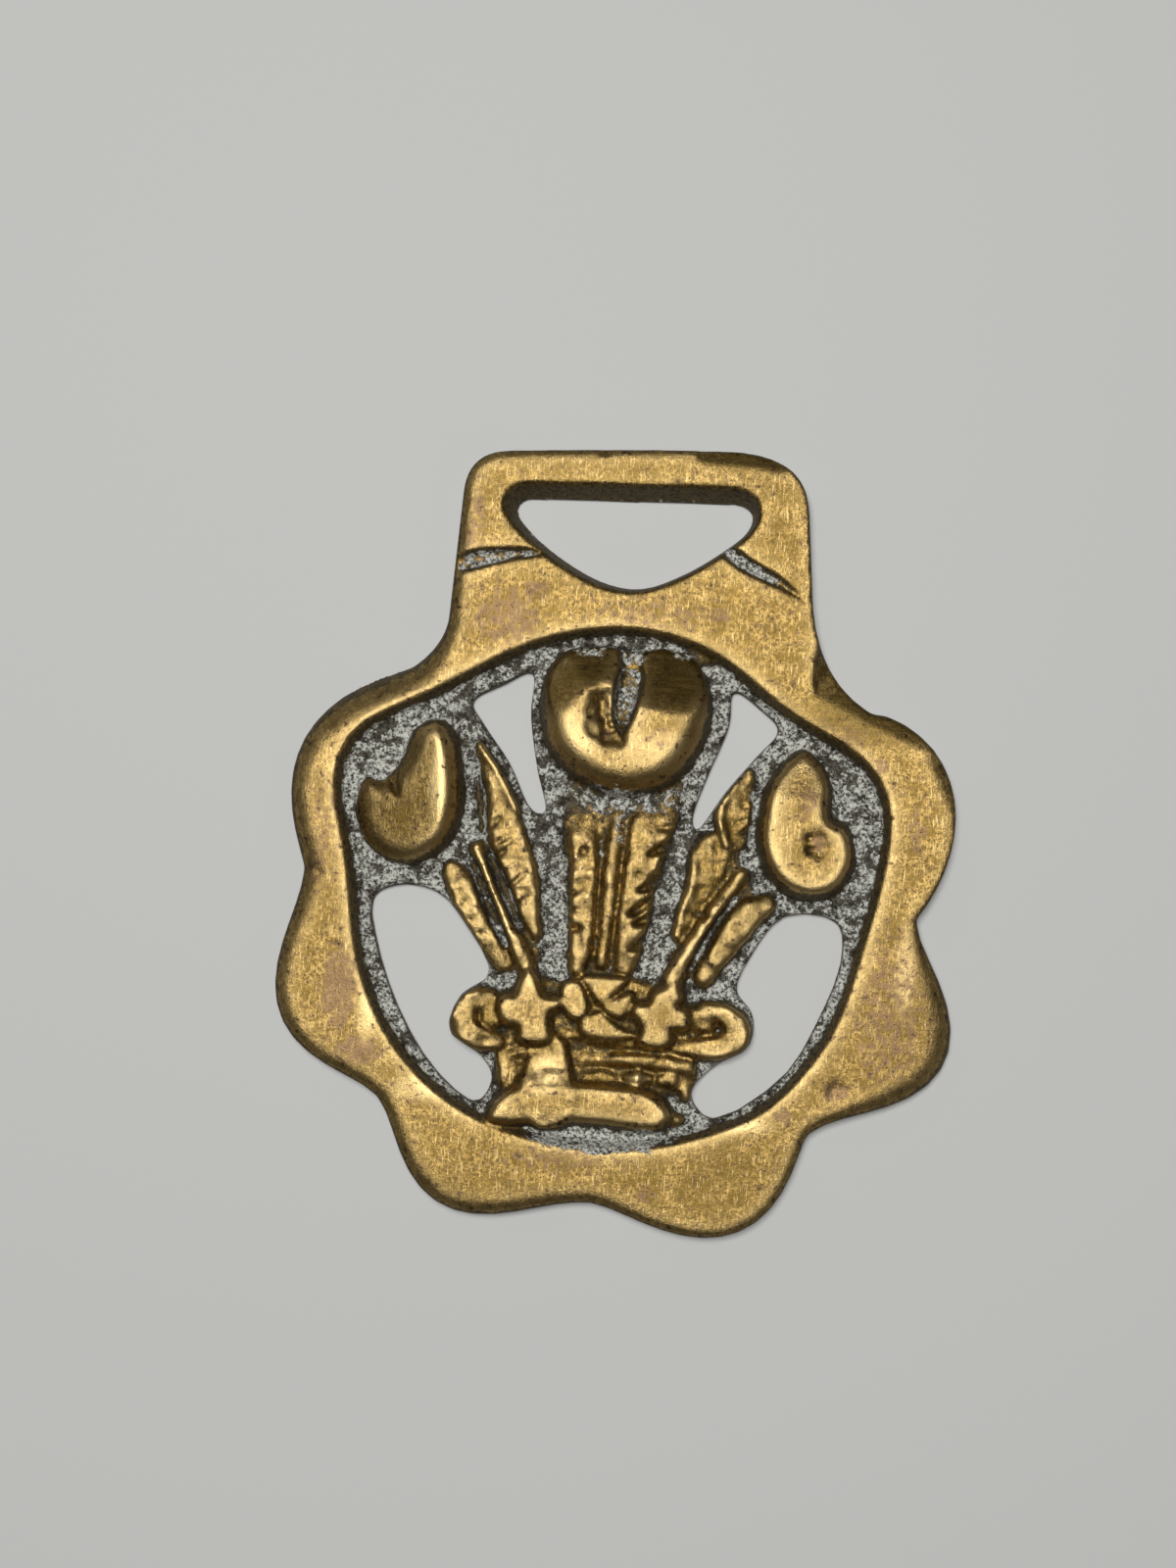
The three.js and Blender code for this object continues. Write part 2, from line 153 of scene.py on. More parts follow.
# Domed forms: an outline, the height at the top, how wide the shoulder is, and a tilt of the top, as the
# rise for each mm along X and along Y from a point on it.
CURLS = {
    "middle": {
        "outline": [
            (-9.0, 12.2), (-8.7, 15.8), (-6.9, 18.4), (-3.4, 19.2), (0.0, 18.9), (3.6, 19.2), (6.5, 18.0),
            (8.1, 15.2), (8.3, 11.8), (6.9, 8.0), (4.3, 5.2), (0.0, 3.9), (-4.4, 5.1), (-7.8, 8.0),
        ],
        "top": 5.55,
        "shoulder": 2.9,
    },
    "left": {
        "outline": [
            (-22.7, 6.6), (-21.6, 9.7), (-19.2, 10.8), (-17.3, 9.2), (-16.3, 5.2), (-16.3, 1.0),
            (-17.9, -2.4), (-21.3, -4.1), (-24.7, -3.2), (-26.8, -0.6), (-27.2, 2.6), (-26.2, 4.6),
            (-24.4, 4.4),
        ],
        "top": 5.1,
        "shoulder": 2.1,
        "tilt": (0.28, 0.02, -18.4, 4.0),
    },
    "right": {
        "outline": [
            (17.3, 9.8), (19.4, 8.9), (20.8, 6.4), (20.9, 3.2), (22.4, 2.4), (23.4, 0.4), (23.3, -2.2),
            (21.6, -4.6), (18.6, -5.3), (15.7, -4.0), (13.8, -0.9), (13.6, 2.8), (14.5, 6.6),
        ],
        "top": 4.9,
        "shoulder": 1.3,
        "tilt": (-0.05, -0.22, 16.6, 4.6),
    },
}

# Low bodies that the strokes of the carving stand on.
BODIES = {
    "middle plume": {
        "outline": [
            (-6.2, 3.4), (-6.2, 0.0), (-5.6, -5.0), (-5.1, -10.0), (-4.8, -13.8), (-1.0, -14.6), (2.2, -13.8),
            (3.2, -10.0), (4.1, -6.0), (4.8, -1.0), (6.0, 3.2), (5.6, 6.6), (0.0, 7.0), (-5.8, 6.6),
        ],
        "top": 1.85,
        "shoulder": 1.2,
    },
    "left plume": {
        "outline": [
            (-15.7, 9.4), (-13.4, 6.0), (-11.0, 2.0), (-9.4, -1.4), (-8.2, -5.0), (-8.2, -8.0), (-7.4, -10.0),
            (-7.6, -14.0), (-11.0, -14.4), (-13.2, -11.4), (-15.8, -7.2), (-17.2, -4.4), (-15.4, -2.6),
            (-14.2, 0.6), (-14.6, 5.0),
        ],
        "top": 1.85,
        "shoulder": 0.9,
    },
    "right plume": {
        "outline": [
            (12.6, 7.6), (10.9, 5.6), (9.4, 2.6), (9.2, 0.2), (7.4, -1.4), (6.8, -4.6), (6.0, -8.0),
            (5.6, -10.4), (4.6, -14.4), (8.4, -14.6), (10.6, -12.8), (12.8, -9.6), (15.6, -5.8),
            (13.0, -3.4), (12.4, 0.0), (13.2, 4.4),
        ],
        "top": 1.85,
        "shoulder": 0.9,
    },
    "coronet": {
        "outline": [
            (-11.2, -16.8), (-8.6, -14.6), (-4.0, -14.6), (0.0, -14.0), (5.6, -14.4), (7.6, -17.0),
            (9.0, -18.4), (8.2, -20.8), (8.9, -22.6), (8.6, -25.4), (0.0, -26.0), (-8.0, -26.0),
            (-11.2, -25.6), (-11.2, -22.6), (-10.6, -20.0),
        ],
        "top": 2.05,
        "shoulder": 0.9,
    },
}

# Strokes of the carving. Each row is x, y, width and height at the top.
STROKES = {
    "middle plume": [
        [(-4.1, 1.8, 2.4, 1.8), (-3.9, 0.0, 2.7, 2.5), (-3.7, -1.6, 2.7, 2.75), (-3.5, -6.5, 2.7, 2.9),
         (-3.4, -11.0, 2.4, 2.85), (-3.7, -13.5, 1.6, 2.6)],
        [(-0.5, 2.4, 1.0, 2.1), (-0.7, -0.6, 1.5, 2.65), (-1.0, -7.5, 1.6, 2.95), (-1.3, -13.0, 1.2, 2.6)],
        [(3.6, 3.2, 3.8, 1.8), (3.2, 1.6, 4.2, 2.4), (2.7, 0.0, 4.0, 2.75), (1.85, -5.0, 3.3, 2.9),
         (1.35, -10.0, 2.9, 2.9), (1.0, -13.0, 2.0, 2.6)],
    ],
    "left plume": [
        [(-16.7, -4.6, 2.2, 2.3), (-15.3, -6.8, 3.0, 2.7), (-13.3, -10.1, 2.7, 2.7),
         (-11.2, -13.4, 1.8, 2.3)],
        [(-14.6, -2.0, 1.1, 2.5), (-12.5, -6.2, 1.7, 3.05), (-10.6, -10.0, 1.9, 3.15),
         (-8.9, -13.6, 1.7, 2.9)],
        [(-14.9, 8.2, 0.8, 2.1), (-12.9, 4.0, 2.0, 2.5), (-11.6, -0.4, 3.6, 2.7), (-10.1, -4.6, 3.7, 2.8),
         (-8.9, -8.0, 2.3, 2.75), (-8.1, -10.2, 1.2, 2.5)],
        [(-14.9, 8.4, 0.6, 2.4), (-12.6, 5.2, 0.7, 2.75), (-10.8, 2.0, 0.7, 2.8)],
    ],
    "right plume": [
        [(14.9, -5.9, 1.8, 2.5), (13.1, -7.2, 3.0, 2.9), (11.2, -10.0, 2.7, 2.9), (9.0, -13.6, 1.9, 2.5)],
        [(12.3, -3.0, 1.1, 2.4), (10.2, -6.3, 1.7, 3.05), (8.4, -9.5, 1.8, 3.25), (5.9, -14.2, 2.0, 3.25)],
        [(12.2, 6.8, 1.8, 1.9), (11.3, 3.6, 3.2, 2.25), (11.2, 0.4, 2.7, 2.2)],
        [(11.0, 5.9, 0.8, 2.3), (9.9, 3.6, 0.9, 2.7), (9.9, 1.6, 0.9, 2.7), (10.8, -0.9, 0.8, 2.4)],
        [(9.4, -0.8, 3.4, 2.3), (8.6, -3.6, 3.4, 2.45), (7.6, -6.2, 2.3, 2.5), (6.3, -9.8, 1.1, 2.4)],
        [(7.5, -1.2, 0.8, 2.4), (7.4, -4.0, 0.9, 2.7), (6.6, -6.8, 0.9, 2.75), (6.1, -9.4, 1.0, 2.6)],
    ],
    "lump beside the right curl": [
        [(21.2, 5.2, 2.2, 1.5), (23.0, 3.4, 3.8, 1.6), (23.6, -0.6, 4.0, 1.65), (22.4, -4.2, 2.6, 1.5)],
    ],
    "ledge of the coronet": [
        [(-4.6, -19.9, 0.8, 2.3), (-1.2, -20.5, 1.1, 2.55), (3.0, -20.8, 1.1, 2.55),
         (7.4, -21.0, 1.0, 2.5)],
    ],
    "left finial": [
        [(-12.2, -17.0, 1.8, 2.7), (-14.1, -17.4, 2.6, 3.1), (-14.9, -18.8, 2.8, 3.1),
         (-14.5, -20.2, 2.8, 3.1), (-13.2, -21.0, 2.6, 3.1), (-11.3, -21.3, 1.7, 2.6)],
        [(-12.2, -18.2, 2.0, 2.8), (-12.0, -19.0, 2.1, 2.8)],
    ],
    "right finial": [
        [(9.4, -16.7, 1.4, 2.7), (11.1, -17.1, 2.1, 3.05), (12.5, -18.2, 2.6, 3.1), (12.6, -19.5, 2.7, 3.1),
         (11.3, -20.4, 2.5, 3.0), (9.2, -20.7, 2.2, 2.9), (7.2, -20.8, 1.5, 2.6)],
        [(8.4, -17.7, 2.2, 2.8), (9.5, -18.2, 2.3, 2.8)],
    ],
    "band": [
        [(-10.5, -23.0, 1.7, 2.4), (-9.9, -25.0, 2.0, 2.5)],
        [(-8.8, -23.9, 1.2, 2.7), (-8.6, -24.9, 1.4, 2.8)],
        [(-9.6, -22.4, 1.1, 2.5), (-4.8, -21.8, 1.3, 2.7)],
        [(-6.2, -21.9, 4.2, 2.85), (-6.0, -23.6, 4.8, 3.15), (-6.0, -25.0, 5.8, 3.55),
         (-5.8, -26.4, 6.6, 3.8)],
        [(0.6, -22.4, 1.3, 2.7), (4.4, -22.3, 1.6, 2.85), (8.0, -22.6, 1.5, 2.7)],
        [(1.9, -24.1, 1.1, 2.7), (3.0, -24.1, 1.7, 3.05), (4.2, -24.1, 0.9, 2.7)],
        [(5.5, -24.1, 1.3, 2.7), (6.5, -24.1, 1.4, 2.7)],
        [(-2.0, -24.2, 1.3, 2.5), (-0.4, -24.3, 1.7, 2.6), (1.0, -24.6, 1.2, 2.4)],
        [(-2.6, -22.6, 1.3, 2.3), (-0.2, -22.3, 1.4, 2.4)],
        [(7.6, -23.6, 1.2, 2.3), (7.9, -25.4, 1.2, 2.3)],
    ],
    "seam beside the middle curl": [
        [(5.9, 18.7, 1.4, 1.9), (7.6, 18.9, 2.2, 2.2)],
    ],
}

# A stroke's shoulder is half as wide as the stroke with its flare, within these.
LEAST_SHOULDER = 0.2
STROKE_SHOULDER = 0.85

# Flat-topped forms of the coronet: the crosses, the four pads of the knot, the headband's lens and the
# chipped piece at its end. Some grow beyond their outline.
CORONET = {
    "left cross": {
        "outline": [
            (-8.5, -13.7), (-7.6, -14.7), (-7.1, -15.9), (-6.7, -16.4), (-5.0, -16.6), (-5.1, -17.6),
            (-6.0, -18.1), (-6.1, -19.0), (-5.8, -20.7), (-7.0, -21.3), (-9.0, -21.1), (-9.3, -19.7),
            (-10.4, -19.5), (-11.3, -18.6), (-11.4, -17.3), (-10.5, -16.5), (-9.8, -16.6), (-9.6, -15.9),
            (-9.3, -14.9),
        ],
        "top": 3.5,
        "shoulder": 1.1,
        "grow": 0.42,
    },
    "right cross": {
        "outline": [
            (5.4, -14.6), (4.1, -15.4), (3.6, -16.5), (2.4, -16.6), (2.0, -17.6), (2.8, -18.6), (3.0, -19.5),
            (2.8, -20.6), (5.0, -21.1), (6.3, -20.2), (6.3, -19.1), (7.5, -19.0), (8.0, -18.0), (7.4, -16.8),
            (6.6, -16.6), (7.1, -16.0), (6.8, -15.0), (6.3, -13.9),
        ],
        "top": 3.5,
        "shoulder": 1.1,
        "grow": 0.42,
    },
    "left pad": {
        "outline": [
            (-5.0, -15.0), (-3.4, -14.7), (-2.6, -15.9), (-2.2, -17.4), (-2.9, -18.6), (-4.2, -18.4),
            (-5.1, -17.0),
        ],
        "top": 3.15,
        "shoulder": 0.6,
        "grow": 0.2,
    },
    "top pad": {
        "outline": [(-3.0, -14.2), (1.3, -14.2), (0.6, -15.5), (-0.8, -17.0), (-1.7, -16.6), (-2.6, -15.3)],
        "top": 3.0,
        "shoulder": 0.5,
        "grow": 0.2,
    },
    "right pad": {
        "outline": [(2.1, -15.6), (1.9, -17.0), (1.2, -18.2), (0.0, -18.1), (-0.9, -17.2), (0.5, -16.1)],
        "top": 3.05,
        "shoulder": 0.5,
        "grow": 0.2,
    },
    "lower pad": {
        "outline": [
            (-3.0, -18.7), (-1.2, -17.6), (0.0, -18.4), (1.2, -19.2), (3.0, -19.8), (1.0, -20.4),
            (-1.2, -20.4), (-2.8, -20.0),
        ],
        "top": 2.95,
        "shoulder": 0.5,
        "grow": 0.2,
    },
    "lens": {
        "outline": [
            (-11.7, -29.1), (-11.0, -26.9), (-8.8, -25.4), (-5.0, -24.8), (0.0, -24.8), (3.4, -25.0),
            (5.8, -26.2), (6.6, -27.9), (4.8, -29.2), (0.0, -28.9), (-5.0, -28.9), (-9.0, -29.4),
        ],
        "top": 3.85,
        "shoulder": 1.2,
        "grow": 0.3,
    },
    "end": {
        "outline": [(5.9, -27.0), (7.4, -27.2), (8.1, -28.0), (7.0, -28.9), (5.8, -28.5)],
        "top": 2.7,
        "shoulder": 0.7,
    },
}

# Cuts. Each row is x, y, width and the height of the floor. Their sides rise by the slope beyond the width,
# and the clefts and the grooves beside the stems have steep ones.
CUT_SLOPE = 2.2
STEEP_SLOPE = 5.0
CLEFTS = [
    [(0.0, 19.4, 2.4, 1.6), (0.0, 17.4, 1.7, 2.5), (0.0, 15.8, 1.9, 2.1), (-0.45, 13.4, 1.6, 2.7),
     (-0.65, 11.6, 1.2, 3.2), (-0.6, 10.2, 0.3, 4.2)],
    [(-23.8, 6.0, 1.4, 1.9), (-23.3, 4.0, 0.8, 2.5), (-22.7, 2.5, 0.1, 3.7)],
    [(22.0, 3.9, 0.9, 2.2), (21.1, 3.0, 0.2, 3.4), (20.5, 2.4, 0.0, 4.6)],
]
HANGER_GROOVES = [
    [(-19.4, 26.4, 1.3, 2.2), (-15.2, 27.5, 0.9, 2.2), (-12.4, 28.0, 0.5, 2.4), (-10.0, 28.2, 0.2, 2.6)],
    [(8.8, 29.6, 0.8, 2.3), (11.2, 28.0, 0.7, 2.3), (14.2, 26.6, 0.5, 2.5), (16.9, 24.9, 0.0, 3.0)],
]
STEM_GROOVES = [
    [(-14.9, -3.6, 0.5, 0.9), (-12.9, -8.0, 0.6, 0.8), (-11.0, -11.6, 0.3, 1.2)],
    [(-13.2, -2.6, 0.5, 1.0), (-11.4, -6.2, 0.7, 0.8), (-9.6, -10.0, 0.3, 1.2)],
    [(-15.0, 5.2, 0.5, 0.8), (-14.5, 2.2, 0.7, 0.7), (-14.2, -0.8, 0.4, 0.9)],
    [(0.3, 1.6, 0.1, 2.0), (0.1, -4.0, 0.0, 2.2), (-0.4, -13.2, 0.0, 2.2)],
    [(12.1, -5.0, 0.2, 1.5), (9.5, -9.2, 0.3, 1.3), (7.6, -13.0, 0.3, 1.5)],
]

# Rows of cuts between barbs: where the first starts, the step to the next, how many there are, how far each
# reaches, and its width and floor. A cut is wider and deeper at its mouth, bends on its way and runs out
# near the top of the form, and each strays a little.
BARBS = [
    {"from": (5.4, 1.6), "step": (-0.36, -1.9), "count": 7, "reach": (-2.9, -1.4), "cut": (0.35, 2.1)},
    {"from": (-5.6, 0.4), "step": (0.1, -2.1), "count": 6, "reach": (1.5, 0.5), "cut": (0.1, 2.5)},
    {"from": (-13.8, 2.0), "step": (0.55, -1.6), "count": 7, "reach": (2.6, 2.4), "cut": (0.0, 2.45)},
    {"from": (-16.5, -6.2), "step": (0.9, -1.5), "count": 5, "reach": (1.5, 0.8), "cut": (0.0, 2.6)},
    {"from": (10.8, -1.6), "step": (-0.55, -1.5), "count": 5, "reach": (-2.6, 0.2), "cut": (0.0, 2.25)},
    {"from": (12.8, 5.0), "step": (-0.15, -1.3), "count": 5, "reach": (-2.0, -0.2), "cut": (0.0, 2.0)},
]
BARB_STRAY = 0.25
BARB_MOUTH = {"wider": 1.6, "deeper": 0.3}
BARB_BEND = 0.62
BARB_END = 3.0

# The ragged hollow beside the middle curl's cleft: its rows, as for a cut, and the slope of its sides.
HOLLOW = {
    "rows": [
        (-2.6, 13.7, 0.2, 4.7), (-2.5, 12.4, 0.6, 4.5), (-2.2, 11.0, 0.6, 4.5), (-1.6, 9.9, 0.4, 4.6),
        (-0.7, 9.6, 0.1, 5.0),
    ],
    "slope": 0.6,
}

# Pits and dents: x, y, radius, depth.
PITS = [
    (19.5, 0.3, 1.0, 0.2), (18.8, -0.4, 0.4, 0.4), (19.9, 1.1, 0.4, 0.35), (18.2, 3.6, 0.5, 0.12),
    (18.7, 0.9, 0.4, 0.3), (20.3, 0.1, 0.4, 0.35), (19.7, -0.8, 0.4, 0.35), (-3.8, -1.6, 0.5, 0.4),
    (-3.9, -9.4, 0.4, 0.5), (-10.3, 24.5, 0.8, 0.15), (8.5, 22.8, 0.6, 0.15), (22.7, -24.0, 0.8, 0.25),
    (-5.0, -7.6, 0.5, 0.3), (-4.6, -3.2, 0.4, 0.3), (1.8, -3.8, 0.4, 0.25), (-17.5, -35.7, 0.3, 0.2),
    (-28.0, -12.6, 0.4, 0.15), (-30.2, -5.5, 0.4, 0.15), (-30.0, 9.7, 0.5, 0.12), (-4.0, 38.9, 0.4, 0.4),
    (6.3, -28.6, 0.4, 0.6), (-4.2, -5.2, 0.5, 0.25),
]

# Roughness: the size of the lumps, how far they stand proud, and their seed.
LUMPS = {
    "ground": [(1.6, 0.16, 60), (0.6, 0.12, 61)],
    "carving": [(1.6, 0.11, 70), (0.75, 0.15, 71)],
    "hollow": [(0.55, 0.25, 5)],
    "pits": [(0.5, 0.6, 3)],
    "rim": [(7.0, 0.06, 30), (1.2, 0.015, 31)],
    "back": [(5.0, 0.06, 40), (0.9, 0.03, 41)],
}

# Where the metal has a mauve tarnish, is bright with wear and a painted highlight, is filed along X and
# darkened with painted shade, or holds residue on its face or its outer walls: x, y, half width, half height
# and how strongly.
MAUVE = [
    (-27.4, -17.0, 1.9, 4.5, 1.0), (-25.2, -23.0, 2.4, 1.6, 1.0), (-30.0, -2.0, 1.6, 6.0, 0.5),
    (-16.6, 30.0, 1.0, 6.5, 0.6), (-13.0, 21.5, 3.6, 3.0, 0.75), (2.0, 22.6, 7.0, 1.6, 0.5),
    (8.6, 22.7, 1.2, 0.8, 0.9), (-10.3, 24.5, 1.3, 0.9, 0.9), (25.6, 8.4, 0.7, 1.0, 0.9),
    (22.0, 11.4, 2.8, 1.2, 0.7), (29.6, 2.4, 1.0, 2.6, 0.6), (27.6, -16.0, 3.6, 8.0, 0.6),
    (22.8, -24.1, 1.3, 1.0, 1.0), (17.6, -26.8, 1.0, 0.8, 0.9), (4.3, -35.6, 0.9, 0.8, 0.8),
    (18.4, 4.4, 1.1, 1.6, 0.7), (19.3, 0.4, 1.2, 1.2, 0.8), (-4.0, -32.6, 6.0, 1.4, 0.5),
    (3.4, 9.6, 1.6, 1.0, 0.5), (-3.0, 12.4, 0.8, 1.7, 0.6), (-2.0, 9.9, 0.8, 0.7, 0.6),
]
# The bright places are partly real wear and partly painted highlights, on the curls, the crests of the rim
# and the coronet.
WEAR_AND_HIGHLIGHT = [
    (-5.0, 9.8, 2.6, 2.6, 0.5), (3.0, 8.6, 4.2, 2.0, 0.4), (-18.6, 4.6, 0.9, 3.4, 0.8),
    (16.2, 1.6, 1.2, 4.0, 0.15), (-24.4, -19.0, 1.0, 3.0, 0.5),
    (-18.6, -26.4, 3.0, 1.2, 0.5), (13.0, -28.0, 4.0, 0.8, 0.5), (-6.0, -24.2, 1.6, 2.0, 0.7),
    (3.0, -24.1, 1.0, 0.7, 1.0), (29.0, -12.0, 1.0, 4.0, 0.5),
]
# Filed flats on the curls, the rim and the hanger, streaked with file marks and darkened with painted shade.
FILED_AND_SHADED = [
    (4.8, 16.2, 4.6, 3.6, 1.0), (-4.8, 16.9, 4.4, 2.3, 1.0), (-8.0, 13.8, 1.6, 2.2, 1.0),
    (24.0, 13.4, 9.0, 2.6, 1.0), (10.0, 38.6, 5.0, 1.0, 0.8),
]
FACE_RESIDUE = [
    (-4.6, 18.5, 2.4, 0.9, 0.9), (-6.6, 17.2, 1.0, 1.0, 0.6), (5.6, 18.6, 1.4, 0.6, 0.8),
    (0.0, 18.6, 1.6, 1.4, 1.0), (-0.6, -30.5, 7.0, 1.2, 1.5), (4.6, -29.9, 2.6, 0.9, 1.4),
    (-0.3, 3.6, 5.6, 1.7, 1.15), (-0.1, 1.0, 0.9, 2.0, 0.9),
]
WALL_RESIDUE = [
    (20.4, -29.4, 1.6, 2.6, 1.0), (1.4, -37.4, 4.0, 1.2, 1.0),
]

# Bands that an effect fades in over, from none to full: by height or depth in mm, by slope, or by how far
# the surface faces up.
BANDS = {
    "face": (-0.3, 0.2),
    "back": (0.3, 0.8),
    "side": (0.4, 0.8),
    "upward": (0.45, 0.95),
    "carved ground": (0, 1),
    "recess": (-0.2, 0.4),
    "raised": (0.3, 1.05),
    "off the ground": (0.1, 0.95),
    "out of pits": (-0.5, -0.25),
    "sunk": (0.08, 0.4),
    "rim top": (0.8, 1.4),
    "steep metal": (1.6, 3.0),
    "steep residue": (1.2, 3.0),
    "groove": (0.2, 0.6),
    "cleft": (0.8, 1.5),
}

# How strongly effects act on the clean and lit metal and the residue. The shares for steep metal and sunk
# places paint shade onto slopes and hollows, and the tilt share lessens the painted shade on tilted faces in
# the recess.
SHARES = {
    "steep metal": 0.35,
    "sunk": 0.4,
    "tilt forgiven in the recess": 0.25,
    "clean back": 0.55,
    "steep residue": 0.35,
    "residue on outer walls": 0.45,
}

# What heights are smoothed over, in mm, to find the ground, slopes, hollows and ridges.
SMOOTHING = {"ground": 1, "slope": 0.3, "hollow": 0.9, "ridge": 1.0}


class Plan:
    """The grid of points that heights are kept on, in mm."""

    def __init__(self, low, high):
        self.x = np.arange(low[0] - MARGIN, high[0] + MARGIN, STEP)
        self.y = np.arange(low[1] - MARGIN, high[1] + MARGIN, STEP)
        self.X, self.Y = np.meshgrid(self.x, self.y, indexing="ij")

    def near(self, points, reach):
        """The part of the grid within reach of some points, as a pair of slices."""
        parts = []
        for axis, ticks in enumerate((self.x, self.y)):
            low = np.searchsorted(ticks, points[:, axis].min() - reach)
            high = np.searchsorted(ticks, points[:, axis].max() + reach)
            parts.append(slice(low, high))
        return tuple(parts)

    def sample(self, field, x, y):
        """A field's values at scattered points."""
        u = np.clip((x - self.x[0]) / STEP, 0, len(self.x) - 1.001)
        v = np.clip((y - self.y[0]) / STEP, 0, len(self.y) - 1.001)
        i, j = u.astype(int), v.astype(int)
        u, v = u - i, v - j
        low = field[i, j] * (1 - v) + field[i, j + 1] * v
        high = field[i + 1, j] * (1 - v) + field[i + 1, j + 1] * v
        return low * (1 - u) + high * u

    def spots(self, rows):
        """A mask made of soft oval spots."""
        mask = np.zeros_like(self.X)
        for x, y, half_width, half_height, strength in rows:
            away = ((self.X - x) / half_width) ** 2 + ((self.Y - y) / half_height) ** 2
            mask = np.maximum(mask, strength * np.exp(-(away**2)))
        return mask


def blur(field, size):
    """A field smoothed by a Gaussian of that size in mm."""
    reach = max(1, int(3 * size / STEP))
    weights = np.exp(-0.5 * (np.arange(-reach, reach + 1) * STEP / size) ** 2)
    weights /= weights.sum()
    for axis in (0, 1):
        padding = [(reach, reach) if a == axis else (0, 0) for a in (0, 1)]
        padded = np.pad(field, padding, mode="edge")
        length = field.shape[axis]
        field = sum(w * padded.take(range(k, k + length), axis) for k, w in enumerate(weights))
    return field


def noise(plan, size, seed):
    """Smooth noise between -1 and 1, with lumps of that size in mm."""
    shape = [int(np.ptp(ticks) / size) + 4 for ticks in (plan.x, plan.y)]
    lattice = np.random.default_rng(seed).uniform(-1, 1, shape)
    u, v = (plan.X - plan.x[0]) / size, (plan.Y - plan.y[0]) / size
    i, j = u.astype(int), v.astype(int)
    u, v = u - i, v - j
    u, v = u * u * (3 - 2 * u), v * v * (3 - 2 * v)
    low = lattice[i, j] * (1 - v) + lattice[i, j + 1] * v
    high = lattice[i + 1, j] * (1 - v) + lattice[i + 1, j + 1] * v
    return low * (1 - u) + high * u


def lumps(plan, name):
    """The roughness of one part of the casting."""
    return sum(rise * noise(plan, size, seed) for size, rise, seed in LUMPS[name])


def soft_max(a, b, width):
    """The larger of two fields, with a fillet of that width between them."""
    near = np.maximum(width - np.abs(a - b), 0) / width
    return np.maximum(a, b) + near**2 * width / 4


def soft_min(a, b, width):
    """The smaller of two fields, with an edge of that width between them."""
    return -soft_max(-a, -b, width)


def smooth_step(low, high, value):
    """From 0 to 1 as the value goes from low to high."""
    share = np.clip((value - low) / (high - low), 0, 1)
    return share * share * (3 - 2 * share)


def band(name, value):
    return smooth_step(*BANDS[name], value)


def quarter_round(share):
    """A rounded shoulder: 0 at the edge of a form and 1 from a share of 1 on."""
    return np.sqrt(1 - (1 - np.clip(share, 0, 1)) ** 2)


def curve(rows, closed=False):
    """A smooth curve through rows of numbers, such as points with a width and a height."""
    rows = np.array(rows, float)
    if closed:
        ends = np.vstack([rows[-1], rows, rows[0], rows[1]])
    else:
        ends = np.vstack([2 * rows[0] - rows[1], rows, 2 * rows[-1] - rows[-2]])
    t = (np.arange(CURVE_STEPS) / CURVE_STEPS)[:, None]
    spans = []
    for a, b, c, d in zip(ends, ends[1:], ends[2:], ends[3:]):
        spans.append(b + 0.5 * t * (c - a + t * (2 * a - 5 * b + 4 * c - d + t * (3 * (b - c) + d - a))))
    return np.vstack(spans + ([] if closed else [rows[-1:]]))


def to_line(x, y, line):
    """How far points are from a line, and the line's other numbers at the nearest place on it."""
    best = np.full(x.shape, np.inf)
    carried = [np.zeros(x.shape) for _ in range(line.shape[1] - 2)]
    for start, end in zip(line, line[1:]):
        dx, dy = end[:2] - start[:2]
        share = ((x - start[0]) * dx + (y - start[1]) * dy) / max(dx * dx + dy * dy, 1e-12)
        share = np.clip(share, 0, 1)
        away = np.hypot(x - start[0] - share * dx, y - start[1] - share * dy)
        closer = away < best
        best = np.where(closer, away, best)
        for k, field in enumerate(carried):
            value = start[k + 2] + share * (end[k + 2] - start[k + 2])
            carried[k] = np.where(closer, value, field)
    return best, carried


def inside_outline(x, y, outline):
    """Whether points are inside a closed outline."""
    inside = np.zeros(x.shape, bool)
    for (x0, y0), (x1, y1) in zip(outline, np.roll(outline, -1, axis=0)):
        spans = (y0 > y) != (y1 > y)
        if y0 != y1:
            inside ^= spans & (x < x0 + (y - y0) * (x1 - x0) / (y1 - y0))
    return inside


def depth_in(plan, outline, reach=None):
    """How deep the points of the grid are inside an outline, and below zero outside it. With a reach, only
    the part of the grid near it is worked out, and the rest is well outside."""
    part = (slice(None), slice(None)) if reach is None else plan.near(outline, reach)
    x, y = plan.X[part], plan.Y[part]
    away, _ = to_line(x, y, np.vstack([outline, outline[:1]]))
    depth = np.full(plan.X.shape, -float(reach or 0))
    depth[part] = np.where(inside_outline(x, y, outline), away, -away)
    return depth


def raise_form(plan, height, ground, depth, top, shoulder):
    """Adds a form that is rounded over its shoulder, from how deep each point is inside it."""
    form = ground + (top - ground) * quarter_round(depth / shoulder) + SKIRT * np.minimum(depth, 0)
    return soft_max(height, form, FILLET)


def raise_outline(plan, height, ground, form):
    """Adds a form that has an outline, with its top tilted if it has a tilt."""
    outline = curve(form["outline"], closed=True)
    depth = depth_in(plan, outline, REACH["form"]) + form.get("grow", 0)
    rise_x, rise_y, x, y = form.get("tilt", (0, 0, 0, 0))
    top = form["top"] + np.minimum(rise_x * (plan.X - x) + rise_y * (plan.Y - y), 0)
    return raise_form(plan, height, ground, depth, top, form["shoulder"])


